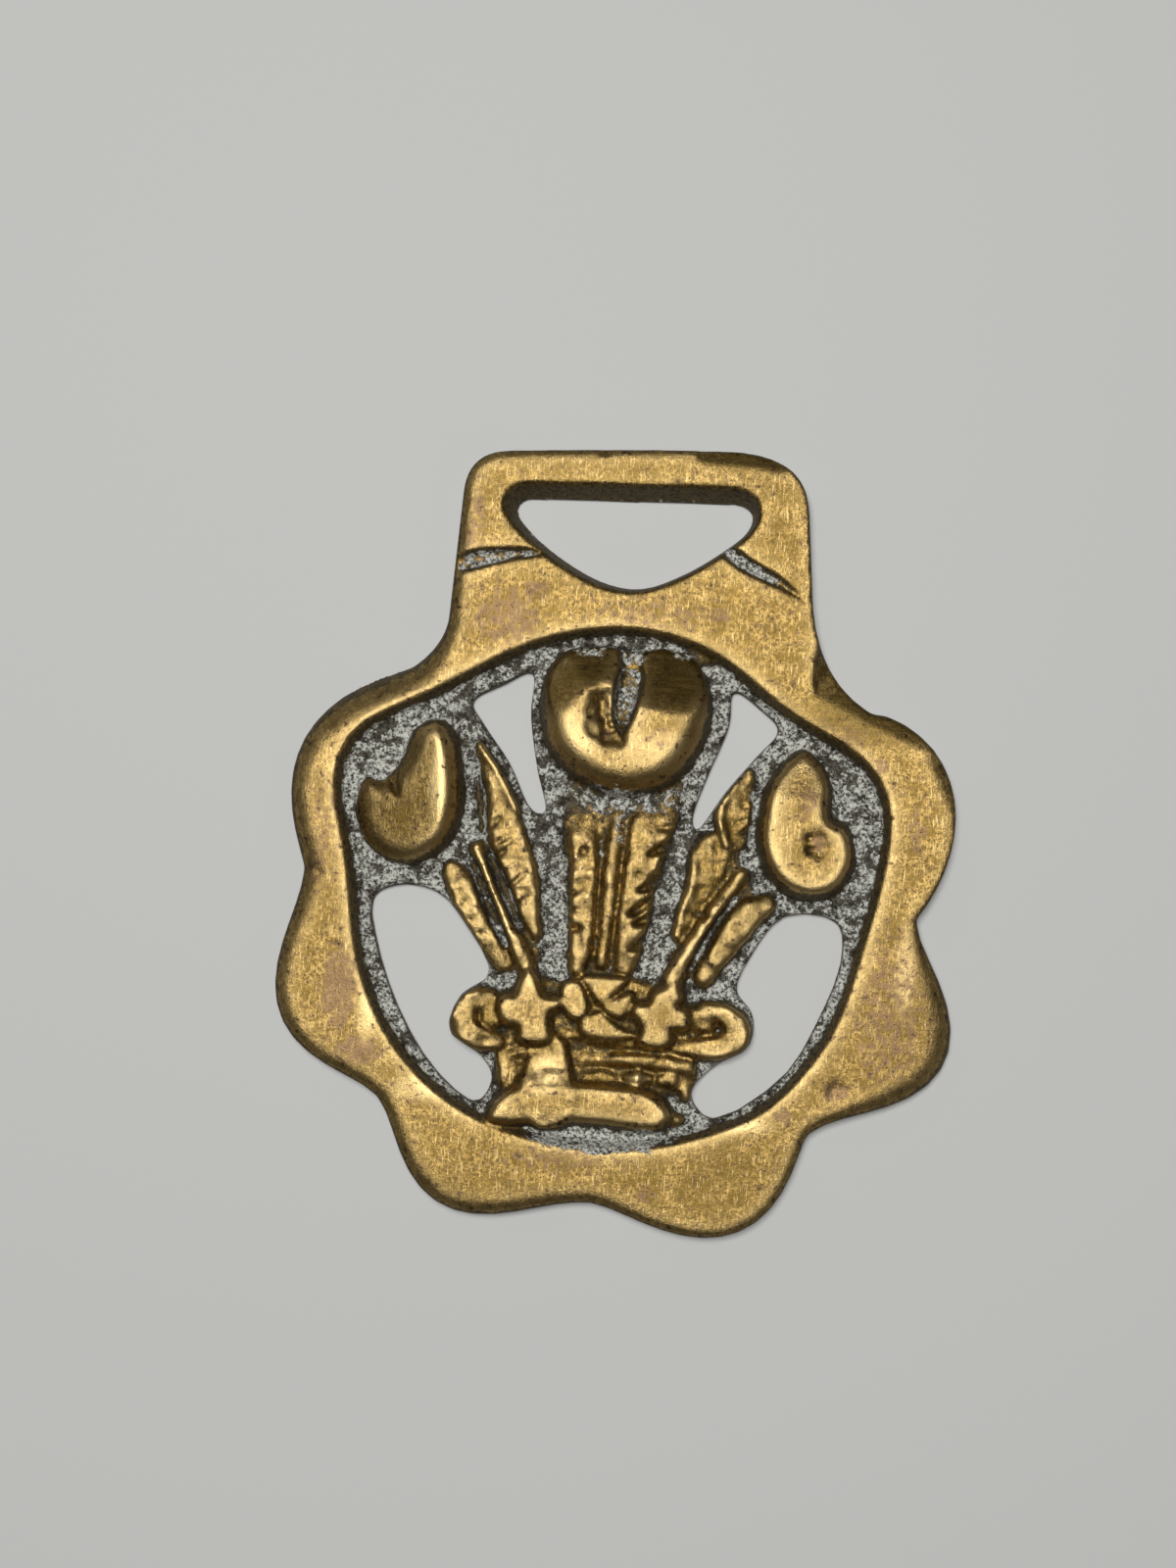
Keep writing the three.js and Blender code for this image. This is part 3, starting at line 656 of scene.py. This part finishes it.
def raise_stroke(plan, height, ground, rows):
    """Adds a ridge along a line."""
    line = curve(rows)
    part = plan.near(line, line[:, 2].max() + REACH["stroke"])
    away, (width, top) = to_line(plan.X[part], plan.Y[part], line)
    depth = width / 2 + FLARE - away
    shoulder = np.clip(width / 2 + FLARE, LEAST_SHOULDER, STROKE_SHOULDER)
    height[part] = raise_form(plan, height[part], ground[part], depth, top, shoulder)
    return height


def cut(plan, height, rows, slope=CUT_SLOPE):
    """Sinks a groove along a line."""
    line = curve(rows)
    part = plan.near(line, REACH["cut"])
    away, (width, floor) = to_line(plan.X[part], plan.Y[part], line)
    valley = floor + slope * np.maximum(away - width / 2, 0)
    height[part] = soft_min(height[part], valley, CUT_EDGE)
    return height


def file_flat(plan, height, facet, top, lift):
    """Files a flat that falls away from a line across the metal."""
    turn = math.radians(facet["facing"])
    x, y = plan.X - facet["middle"][0], plan.Y - facet["middle"][1]
    ahead = x * math.cos(turn) + y * math.sin(turn)
    aside = np.abs(y * math.cos(turn) - x * math.sin(turn))
    flat = top - facet["slope"] * ahead + lift * np.maximum(aside - facet["reach"], 0) ** 2
    return soft_min(height, flat, CUT_EDGE)


def section(mesh, height):
    """The closed outlines of the casting at a height, the largest first."""
    form = bmesh.new()
    form.from_mesh(mesh)
    bmesh.ops.remove_doubles(form, verts=form.verts, dist=MM * WELD)
    parts = form.verts[:] + form.edges[:] + form.faces[:]
    made = bmesh.ops.bisect_plane(form, geom=parts, plane_co=(0, 0, height * MM), plane_no=(0, 0, 1))
    links = {}
    for edge in (g for g in made["geom_cut"] if isinstance(g, bmesh.types.BMEdge)):
        for vert, other in (edge.verts, reversed(edge.verts)):
            links.setdefault(vert, []).append(other)
    outlines = []
    while links:
        vert = next(iter(links))
        outline = []
        while vert in links:
            outline.append(vert.co.xy / MM)
            vert = next((other for other in links.pop(vert) if other in links), None)
        outlines.append(np.array(outline))
    form.free()
    return sorted((o for o in outlines if len(o) > 2), key=area, reverse=True)


def area(outline):
    x, y = outline.T
    return abs(np.dot(x, np.roll(y, -1)) - np.dot(y, np.roll(x, -1))) / 2


def holds(outline, point):
    """Whether an outline has a point inside it."""
    return bool(inside_outline(np.array(point[0]), np.array(point[1]), outline))


def smooth_depth(plan, outline, reach=None):
    """How deep points are inside an outline, with its corners eased."""
    return blur(depth_in(plan, outline, reach), STEP)


def walls(plan, mesh):
    """How deep each point is inside the outline, the slot, the openings and the recess, and how much the slot
    widens for each mm of height."""
    back, middle, face = (section(mesh, height) for height in SECTIONS.values())
    openings = [o for o in back[1:] if not holds(o, SLOT_MIDDLE)]
    slots = [next(o for o in outlines[1:] if holds(o, SLOT_MIDDLE)) for outlines in (back, middle)]
    low, high = (smooth_depth(plan, slot, REACH["opening"]) for slot in slots)
    return {
        "outline": smooth_depth(plan, back[0]),
        "slot": low,
        "slot opens": (high - low) / (SECTIONS["middle"] - SECTIONS["back"]),
        "openings": np.max([smooth_depth(plan, o, REACH["opening"]) for o in openings], axis=0),
        "recess": smooth_depth(plan, face[1]),
    }


def edge_width(plan):
    """How wide the rounding of the outer edge is, at each point of the grid."""
    x, y = plan.X - DISC_CENTRE[0], plan.Y - DISC_CENTRE[1]
    angle = np.degrees(np.arctan2(x, -y))
    width = np.full(plan.X.shape, EDGE["width"])
    for change in EDGE_CHANGES:
        apart = (angle - change["at"] + 180) % 360 - 180
        width += change["by"] * np.exp(-((apart / change["spread"]) ** 2))
    return np.maximum(width, EDGE["least"])


def rim(plan, wall):
    """The heights of the rim and the hanger."""
    width = edge_width(plan)
    height = RIM_TOP + lumps(plan, "rim")
    height -= EDGE["drop"] * width * (1 - quarter_round(wall["outline"] / width))
    height -= INNER_EDGE["drop"] * (1 - quarter_round(-wall["recess"] / INNER_EDGE["width"]))
    slot = wall["slot"] + wall["slot opens"] * RIM_TOP
    height -= SLOT_EDGE["drop"] * (1 - quarter_round(-slot / SLOT_EDGE["width"]))
    for facet in RIM_FACETS:
        height = file_flat(plan, height, facet, RIM_TOP, FACET_LIFT)
    whole = height.copy()
    for rows in HANGER_GROOVES:
        height = cut(plan, height, rows)
    wall["grooves"] = whole - height
    return height


def barb_rows(barbs):
    """The cuts of one row of barbs, each a little out of line. Their number seeds the strays."""
    count = barbs["count"]
    strays = np.random.default_rng(count).uniform(-BARB_STRAY, BARB_STRAY, (count, 2, 4))
    start, step, reach = (np.array(barbs[key]) for key in ("from", "step", "reach"))
    width, floor = barbs["cut"]
    for k, stray in enumerate(strays):
        x, y = start + k * step + stray[:, 0]
        u, v = reach + 2 * stray[:, 1]
        bottom = floor + stray[0, 2] / 2
        bend_x, bend_y = stray[:, 3]
        yield [
            (x, y, width * BARB_MOUTH["wider"], bottom - BARB_MOUTH["deeper"]),
            (x + u / 2 + bend_x, y + v * BARB_BEND + bend_y, width, bottom),
            (x + u, y + v, 0, BARB_END),
        ]


def relief(plan, wall):
    """The heights of the whole face, with the ground that the carving stands on."""
    ground = GROUND + lumps(plan, "ground")
    step = np.clip(1 - wall["recess"] / RECESS_WALL, 0, 1)
    height = ground + (rim(plan, wall) - ground) * step
    for form in BODIES.values():
        height = raise_outline(plan, height, ground, form)
    for rows in itertools.chain.from_iterable(STROKES.values()):
        height = raise_stroke(plan, height, ground, rows)
    for rows in STEM_GROOVES:
        height = cut(plan, height, rows, STEEP_SLOPE)
    for rows in itertools.chain.from_iterable(map(barb_rows, BARBS)):
        height = cut(plan, height, rows)
    height += band("carved ground", wall["recess"]) * lumps(plan, "carving")
    for form in CORONET.values():
        height = raise_outline(plan, height, ground, form)
    curls = ground - CURL_FOOT
    for form in CURLS.values():
        curls = raise_outline(plan, curls, ground, form)
    for facet in CURL_FACETS:
        curls = file_flat(plan, curls, facet, CURL_TOP, CURL_LIFT)
    height = soft_max(height, curls, FILLET)
    whole = height.copy()
    for rows in CLEFTS:
        height = cut(plan, height, rows, STEEP_SLOPE)
    wall["clefts"] = whole - height
    ragged = lumps(plan, "hollow")
    height = cut(plan, height + ragged, HOLLOW["rows"], HOLLOW["slope"]) - ragged
    ragged = 1 + lumps(plan, "pits")
    for x, y, radius, depth in PITS:
        height -= depth * ragged * np.exp(-((plan.X - x) ** 2 + (plan.Y - y) ** 2) / radius**2)
    return blur(height, STEP / 2), ground


def solid(plan, wall, height):
    """A field over the grid's layers that is below zero inside the metal."""
    spare = 2 * LAYER
    layers = np.arange(-spare, height.max() + spare, LAYER)
    slope_x, slope_y = np.gradient(height, STEP)
    lean = np.sqrt(1 + slope_x**2 + slope_y**2)
    back = np.maximum(lumps(plan, "back"), 0)
    field = np.empty(height.shape + layers.shape)
    for k, z in enumerate(layers):
        sides = [
            (z - height) / lean,
            back - z,
            EDGE["draft"] * z - wall["outline"],
            wall["slot"] + wall["slot opens"] * z,
            wall["openings"] + OPENING_DRAFT * z,
        ]
        field[:, :, k] = np.max(sides, axis=0)
    return field, layers[0]


def surface(field, origin, steps):
    """The mesh where a field is zero, with one vertex in each cell that it passes through."""
    inside = field < 0
    corners = list(itertools.product((0, 1), repeat=3))
    size = np.array(field.shape) - 1
    filled = sum(inside[i : size[0] + i, j : size[1] + j, k : size[2] + k].astype(int) for i, j, k in corners)
    cells = np.argwhere((filled > 0) & (filled < 8))
    index = np.full(size, -1)
    index[tuple(cells.T)] = np.arange(len(cells))
    total, hits = np.zeros((len(cells), 3)), np.zeros(len(cells))
    faces = []
    for axis in range(3):
        unit = np.eye(3, dtype=int)[axis]
        for corner in (np.array(c) for c in corners if c[axis] == 0):
            start = field[tuple((cells + corner).T)]
            end = field[tuple((cells + corner + unit).T)]
            crosses = (start < 0) != (end < 0)
            share = np.where(crosses, start / np.where(crosses, start - end, 1), 0)
            total += crosses[:, None] * (corner + share[:, None] * unit)
            hits += crosses
        lower = np.moveaxis(inside, axis, 0)[:-1]
        upper = np.moveaxis(inside, axis, 0)[1:]
        edges = np.argwhere(np.moveaxis(lower != upper, 0, axis))
        others = [np.eye(3, dtype=int)[a] for a in range(3) if a != axis]
        ring = [0 * unit, others[0], others[0] + others[1], others[1]]
        quads = np.stack([index[tuple((edges - offset).T)] for offset in ring], axis=1)
        outward = inside[tuple(edges.T)] != (axis == 1)
        faces.append(np.where(outward[:, None], quads, quads[:, ::-1]))
    vertices = origin + (cells + total / hits[:, None]) * steps
    return vertices, np.vstack(faces)


def new_mesh(name, vertices, faces):
    """An object made of quads, shaded smooth."""
    mesh = bpy.data.meshes.new(name)
    mesh.from_pydata((vertices * MM).tolist(), [], faces.tolist())
    mesh.polygons.foreach_set("use_smooth", np.ones(len(faces), bool))
    piece = bpy.data.objects.new(name, mesh)
    bpy.context.scene.collection.objects.link(piece)
    return piece


def positions(mesh, source="vertices", value="co"):
    """An array of a mesh's points or normals."""
    items = getattr(mesh, source)
    values = np.empty(len(items) * 3, np.float32)
    items.foreach_get(value, values)
    return values.reshape(-1, 3)


def thin_back(piece):
    """Thins the flat back until the piece has its number of triangles, with nothing below the floor."""
    z = positions(piece.data)[:, 2] / MM
    group = piece.vertex_groups.new(name="back")
    group.add(np.flatnonzero(z < LAYER / 2).tolist(), 1.0, "REPLACE")
    thin = piece.modifiers.new("thin the back", "DECIMATE")
    thin.ratio = min(1, TRIANGLES / (2 * len(piece.data.polygons)))
    thin.vertex_group = group.name
    evaluated = piece.evaluated_get(bpy.context.evaluated_depsgraph_get())
    mesh = bpy.data.meshes.new_from_object(evaluated)
    piece.modifiers.clear()
    piece.vertex_groups.clear()
    points = positions(mesh)
    points[:, 2] = np.maximum(points[:, 2], 0)
    mesh.vertices.foreach_set("co", points.reshape(-1))
    piece.data = mesh


def paint(piece, plan, wall, height, ground):
    """Writes what the material goes by to the mesh: clean and lit metal, low under dirt and painted shade,
    residue, wear with painted highlights, tarnish, and filing with painted shade.
    """
    x, y, z = (positions(piece.data) / MM).T
    sample = functools.partial(plan.sample, x=x, y=y)
    up = positions(piece.data, "vertex_normals", "vector")[:, 2]
    face, back = band("face", up), band("back", -up)
    side = band("side", 1 - np.abs(up))
    within = band("recess", sample(wall["recess"]))
    rim_top = band("rim top", z)
    above = z - sample(blur(ground, SMOOTHING["ground"]))
    slope = sample(blur(np.hypot(*np.gradient(height, STEP)), SMOOTHING["slope"]))
    top = sample(height)
    sunk = sample(blur(height, SMOOTHING["hollow"])) - top
    proud = np.maximum(top - sample(blur(height, SMOOTHING["ridge"])), 0)

    # Painted shade: metal on steep slopes, in hollows, on the outer walls below the rim's top and on faces
    # that turn away from up is darkened towards the dirt colours, beside the real dirt on the ground of the
    # recess.
    raised = band("raised", above) * (1 - SHARES["steep metal"] * band("steep metal", slope))
    raised *= 1 - SHARES["sunk"] * band("sunk", sunk)
    clean = raised * within + rim_top * (1 - within)
    clean *= band("upward", up + SHARES["tilt forgiven in the recess"] * within)
    clean = np.maximum(clean, SHARES["clean back"] * back)

    # Residue is kept off steep slopes and out of the deepest pits, which leaves them in the darker dirt
    # colours.
    residue = within * (1 - band("off the ground", above)) * band("out of pits", above)
    residue *= 1 - SHARES["steep residue"] * band("steep residue", slope)
    layers = [
        face * band("groove", sample(wall["grooves"])),
        face * band("cleft", sample(wall["clefts"])),
        side * SHARES["residue on outer walls"] * (1 - within) * (1 - rim_top),
        side * sample(plan.spots(WALL_RESIDUE)),
        sample(plan.spots(FACE_RESIDUE)),
    ]
    residue = np.max([residue, *layers], axis=0) * (1 - back)

    masks = {
        "clean": clean,
        "residue": residue,
        # Ridges and the listed spots turn pale gold: wear and painted highlight.
        "worn": np.clip(proud + sample(plan.spots(WEAR_AND_HIGHLIGHT)), 0, 1) * clean,
        "mauve": sample(plan.spots(MAUVE)) * face,
        "filed": sample(plan.spots(FILED_AND_SHADED)) * face,
    }
    for name, values in masks.items():
        attribute = piece.data.attributes.new(name, "FLOAT", "POINT")
        attribute.data.foreach_set("value", values.astype(np.float32))


class Shader:
    """A material's nodes, each made with its inputs as numbers or as other nodes' outputs."""

    def __init__(self, name):
        self.material = bpy.data.materials.new(name)
        self.material.use_nodes = True
        self.tree = self.material.node_tree
        self.surface = self.tree.nodes["Principled BSDF"]

    def node(self, kind, inputs, output=0, **settings):
        node = self.tree.nodes.new(kind)
        for key, value in settings.items():
            setattr(node, key, value)
        for key, value in inputs.items():
            self.link(node.inputs[key], value)
        return node.outputs[output]

    def link(self, socket, value):
        if isinstance(value, bpy.types.NodeSocket):
            self.tree.links.new(value, socket)
        else:
            socket.default_value = value

    def mask(self, name):
        """What paint() wrote under that name."""
        return self.node("ShaderNodeAttribute", {}, "Fac", attribute_name=name)

    def millimetres(self, stretch):
        """The place on the piece in mm, squeezed along each axis."""
        place = self.node("ShaderNodeTexCoord", {}, "Object")
        scale = [s / MM for s in stretch]
        return self.node("ShaderNodeVectorMath", {0: place, 1: scale}, operation="MULTIPLY")

    def noise(self, name):
        """The pattern of that name in PATTERNS."""
        pattern = PATTERNS[name]
        inputs = {
            "Vector": self.millimetres(pattern.get("stretch", (1, 1, 1))),
            "Scale": 1 / pattern["size"],
            "Detail": pattern["detail"],
            "Roughness": pattern["rough"],
        }
        return self.node("ShaderNodeTexNoise", inputs)

    def math(self, operation, a, b=0.0):
        return self.node("ShaderNodeMath", {0: a, 1: b}, operation=operation)

    def step(self, value, name):
        """The smooth step of that name in STEPS."""
        low, high, start, end = STEPS[name]
        inputs = {"Value": value, "From Min": low, "From Max": high, "To Min": start, "To Max": end}
        return self.node("ShaderNodeMapRange", inputs, interpolation_type="SMOOTHSTEP")

    def mix(self, share, a, b):
        """From colour a to colour b, which are inputs 6 and 7 of a Mix node."""
        ends = [end if isinstance(end, bpy.types.NodeSocket) else (*end, 1) for end in (a, b)]
        return self.node("ShaderNodeMix", {0: share, 6: ends[0], 7: ends[1]}, 2, data_type="RGBA")

    def blend(self, share, a, b):
        """From number a to number b, which are inputs 2 and 3 of a Mix node."""
        return self.node("ShaderNodeMix", {0: share, 2: a, 3: b}, 0, data_type="FLOAT")


# The colours of the material.
COLOURS = {
    "gold": (0.50, 0.325, 0.10),
    # pale gold is the colour of the painted highlights on worn places, and of the scratches.
    "pale gold": (0.90, 0.66, 0.30),
    "dull gold": (0.19, 0.12, 0.028),
    "tarnish": (0.15, 0.095, 0.03),
    "mauve": (0.22, 0.135, 0.075),
    "speck": (0.06, 0.04, 0.018),
    # dirt is the brown of real dirt and also of the painted shade on slopes, hollows, walls and filed flats.
    "dirt_and_shade": (0.14, 0.095, 0.03),
    "grime": (0.13, 0.115, 0.085),
    # soot is the near-black of the pepper in dried polish and of the painted shadow mottled into the dirt
    # colours beside the forms.
    "soot_and_shadow": (0.022, 0.017, 0.010),
    "ash": (0.74, 0.74, 0.66),
}

# Patterns of the material: the size of the grains in mm, how detailed and rough they are, and how they are
# squeezed along each axis.
PATTERNS = {
    "fine": {"size": 0.4, "detail": 6, "rough": 0.8},
    "strokes": {"size": 0.16, "detail": 2, "rough": 0.6, "stretch": (1, 0.12, 1)},
    "filing": {"size": 0.32, "detail": 3, "rough": 0.6, "stretch": (0.06, 1, 1)},
    "clouds": {"size": 6, "detail": 4, "rough": 0.6},
    "patches": {"size": 1.5, "detail": 5, "rough": 0.7},
    "blotches": {"size": 0.8, "detail": 4, "rough": 0.6},
    "specks": {"size": 0.8, "detail": 5, "rough": 0.7},
    "ragged": {"size": 0.7, "detail": 5, "rough": 0.7},
    "crust": {"size": 1.3, "detail": 6, "rough": 0.75},
    "thin crust": {"size": 3.2, "detail": 3, "rough": 0.6},
    "pepper": {"size": 0.34, "detail": 5, "rough": 0.75},
    "polish": {"size": 2.2, "detail": 3, "rough": 0.55},
    "grain": {"size": 0.22, "detail": 4, "rough": 0.7},
}

# Steps of the material: where in a pattern or mask each starts and ends, and what it goes from and to.
STEPS = {
    "gold": (0.44, 0.56, 0, 1),
    "clouds": (0.42, 0.62, 0, 0.5),
    "patches": (0.46, 0.60, 0, 0.75),
    "scratches": (0.54, 0.72, 0, 0.5),
    "blotches": (0.56, 0.68, 0, 0.75),
    "filing": (0.44, 0.56, 0, 1),
    "specks": (0.58, 0.66, 0, 0.8),
    "ragged": (0.3, 0.7, -0.35, 0.35),
    "bare_and_lit": (0.3, 0.75, 0, 1),
    "dirt_and_shade": (0.38, 0.6, 0, 1),
    "grime": (0.42, 0.6, 0, 1),
    "dirt to grime": (0.3, 0.8, 0, 1),
    "crust": (0.32, 0.68, -0.75, 0.45),
    "thin crust": (0.42, 0.62, 0, 0.4),
    "ashy": (0.42, 0.66, 0, 1),
    "ash": (0.40, 0.58, 0, 1),
    "roughness": (0.3, 0.7, 0.47, 0.39),
}

# How strongly masks act on the colour, how rough or metallic dirt and painted shade, wear and painted
# highlights, and ash are, how high patterns stand in the bump, and how deep the bump is in mm.
FINISH = {
    "worn": 0.8,
    "mauve": 0.22,
    "filed": 0.75,
    "dirty roughness": 0.65,
    "worn roughness": 0.38,
    "ash roughness": 0.9,
    "dirty metalness": 0.5,
    "scratch height": 0.25,
    "ash height": 2.0,
    "bump": 0.055,
}


def bare_metal(s, fine, scratches, filing):
    """The colour of the metal where it is free of dirt and painted shade, with painted highlights where it is
    worn and painted shade on its filed flats.
    """
    c = COLOURS
    metal = s.mix(s.step(fine, "gold"), c["tarnish"], c["gold"])
    for name in ("clouds", "patches"):
        metal = s.mix(s.step(s.noise(name), name), metal, c["dull gold"])
    metal = s.mix(s.step(scratches, "scratches"), metal, c["pale gold"])
    # Painted highlight: worn places turn pale gold.
    metal = s.mix(s.math("MULTIPLY", s.mask("worn"), FINISH["worn"]), metal, c["pale gold"])
    blotches = s.math("ADD", s.noise("blotches"), s.math("MULTIPLY", s.mask("mauve"), FINISH["mauve"]))
    metal = s.mix(s.step(blotches, "blotches"), metal, c["mauve"])
    # Painted shade: filed flats turn to the dark dirt and dull gold, streaked with file marks.
    filed = s.mix(s.step(filing, "filing"), c["dirt_and_shade"], c["dull gold"])
    metal = s.mix(s.math("MULTIPLY", s.mask("filed"), FINISH["filed"]), metal, filed)
    return s.mix(s.step(s.noise("specks"), "specks"), metal, c["speck"])


def brass():
    """Worn brass, brown where dirt has built up and where shade is painted, pale where highlights are
    painted, and grey where polish has dried.
    """
    s = Shader("brass")
    c = COLOURS
    residue, fine, filing = s.mask("residue"), s.noise("fine"), s.noise("filing")
    scratches = s.blend(s.mask("filed"), s.noise("strokes"), filing)

    # Where the metal is not bare and lit it takes the dirt colours: real dirt on the ground, painted shade on
    # slopes, hollows and walls.
    bare_and_lit = s.step(s.math("ADD", s.mask("clean"), s.step(s.noise("ragged"), "ragged")), "bare_and_lit")
    dirt_and_shade = s.mix(s.step(fine, "dirt_and_shade"), c["soot_and_shadow"], c["dirt_and_shade"])
    grime = s.mix(s.step(fine, "grime"), c["soot_and_shadow"], c["grime"])
    dirty_and_shaded = s.mix(s.step(residue, "dirt to grime"), dirt_and_shade, grime)
    base = s.mix(bare_and_lit, dirty_and_shaded, bare_metal(s, fine, scratches, filing))

    crust = s.math("ADD", residue, s.step(s.noise("crust"), "crust"))
    crust = s.math("SUBTRACT", crust, s.step(s.noise("thin crust"), "thin crust"))
    ashy = s.step(crust, "ashy")
    pepper = s.noise("pepper")
    base = s.mix(ashy, base, s.mix(s.step(pepper, "ash"), c["soot_and_shadow"], c["ash"]))

    rough = s.blend(s.mask("worn"), s.step(s.noise("polish"), "roughness"), FINISH["worn roughness"])
    rough = s.blend(bare_and_lit, FINISH["dirty roughness"], rough)
    metallic = s.math("MULTIPLY", s.blend(bare_and_lit, FINISH["dirty metalness"], 1.0), s.blend(ashy, 1.0, 0.0))
    s.link(s.surface.inputs["Base Color"], base)
    s.link(s.surface.inputs["Metallic"], metallic)
    s.link(s.surface.inputs["Roughness"], s.blend(ashy, rough, FINISH["ash roughness"]))

    grain = s.math("ADD", s.noise("grain"), s.math("MULTIPLY", scratches, FINISH["scratch height"]))
    height = s.blend(ashy, grain, s.math("MULTIPLY", pepper, FINISH["ash height"]))
    bump = {"Height": height, "Strength": 1.0, "Distance": FINISH["bump"] * MM}
    s.link(s.surface.inputs["Normal"], s.node("ShaderNodeBump", bump))
    return s.material


def plain(name, colour, roughness):
    """A material that is the same all over."""
    s = Shader(name)
    s.link(s.surface.inputs["Base Color"], (*colour, 1))
    s.link(s.surface.inputs["Roughness"], roughness)
    return s.material


# The camera's place, the way its right side and its back face, and its lens, sensor and nearest view.
CAMERA = {
    "place": (3.16, -8.66, 221.36),
    "right": (0.99776, 0.06093, -0.02751),
    "back": (0.03133, -0.06264, 0.99754),
    "lens": 49.93,
    "sensor": 36.0,
    "near": 10,
}

# Square lights that face the origin, with their power in watts.
LIGHTS = [
    {"name": "overhead", "place": (-55, 90, 700), "size": 260, "power": 3.7},
    {"name": "window", "place": (-450, 400, 500), "size": 300, "power": 0.08},
    {"name": "fill", "place": (450, -300, 400), "size": 400, "power": 0.08},
]

# The world's own light, and the floor, which lies a little below the back.
WORLD = {"colour": (0.86, 0.84, 0.80), "strength": 0.03}
FLOOR = {"size": 3000, "colour": (0.68, 0.68, 0.66), "roughness": 0.7, "gap": 0.02}


def stage():
    """The pale floor, the lights and the camera."""
    half = FLOOR["size"] / 2
    corners = np.array([(-half, -half), (half, -half), (half, half), (-half, half)])
    points = np.column_stack([corners, np.full(4, -FLOOR["gap"])])
    floor = new_mesh("floor", points, np.array([[0, 1, 2, 3]]))
    floor.data.materials.append(plain("floor", FLOOR["colour"], FLOOR["roughness"]))
    floor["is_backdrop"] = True
    for light in LIGHTS:
        lamp = bpy.data.lights.new(light["name"], "AREA")
        lamp.size = light["size"] * MM
        lamp.energy = light["power"]
        holder = bpy.data.objects.new(light["name"], lamp)
        holder.location = Vector(light["place"]) * MM
        holder.rotation_euler = Vector(light["place"]).to_track_quat("Z", "Y").to_euler()
        bpy.context.scene.collection.objects.link(holder)
    world = bpy.data.worlds.new("studio")
    world.use_nodes = True
    background = world.node_tree.nodes["Background"]
    background.inputs["Color"].default_value = (*WORLD["colour"], 1)
    background.inputs["Strength"].default_value = WORLD["strength"]
    bpy.context.scene.world = world
    bpy.context.scene.view_settings.view_transform = "Standard"
    camera = bpy.data.cameras.new("camera")
    camera.sensor_fit = "VERTICAL"
    camera.sensor_height = CAMERA["sensor"]
    camera.lens = CAMERA["lens"]
    camera.clip_start = CAMERA["near"] * MM
    right, back = Vector(CAMERA["right"]).normalized(), Vector(CAMERA["back"]).normalized()
    up = back.cross(right)
    turn = Matrix((right, up, back)).transposed().to_4x4()
    holder = bpy.data.objects.new("camera", camera)
    holder.matrix_world = Matrix.Translation(Vector(CAMERA["place"]) * MM) @ turn
    bpy.context.scene.collection.objects.link(holder)
    bpy.context.scene.camera = holder


def casting(frame):
    """The casting at full detail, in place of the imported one."""
    low, high = (np.array(corner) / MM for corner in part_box(NODE))
    plan = Plan(low, high)
    wall = walls(plan, frame["nodes"][NODE].data)
    height, ground = relief(plan, wall)
    field, bottom = solid(plan, wall, height)
    origin = np.array([plan.x[0], plan.y[0], bottom])
    piece = new_mesh("brass_casting", *surface(field, origin, np.array([STEP, STEP, LAYER])))
    thin_back(piece)
    paint(piece, plan, wall, height, ground)
    piece.data.materials.append(brass())
    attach(piece, BODY)
    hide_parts(NODE)


def main():
    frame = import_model()
    cad_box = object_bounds()
    casting(frame)
    stage()
    boxes = {"cad": cad_box, "visual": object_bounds()}
    sizes = {name: [list(corner) for corner in box] for name, box in boxes.items()}


main()
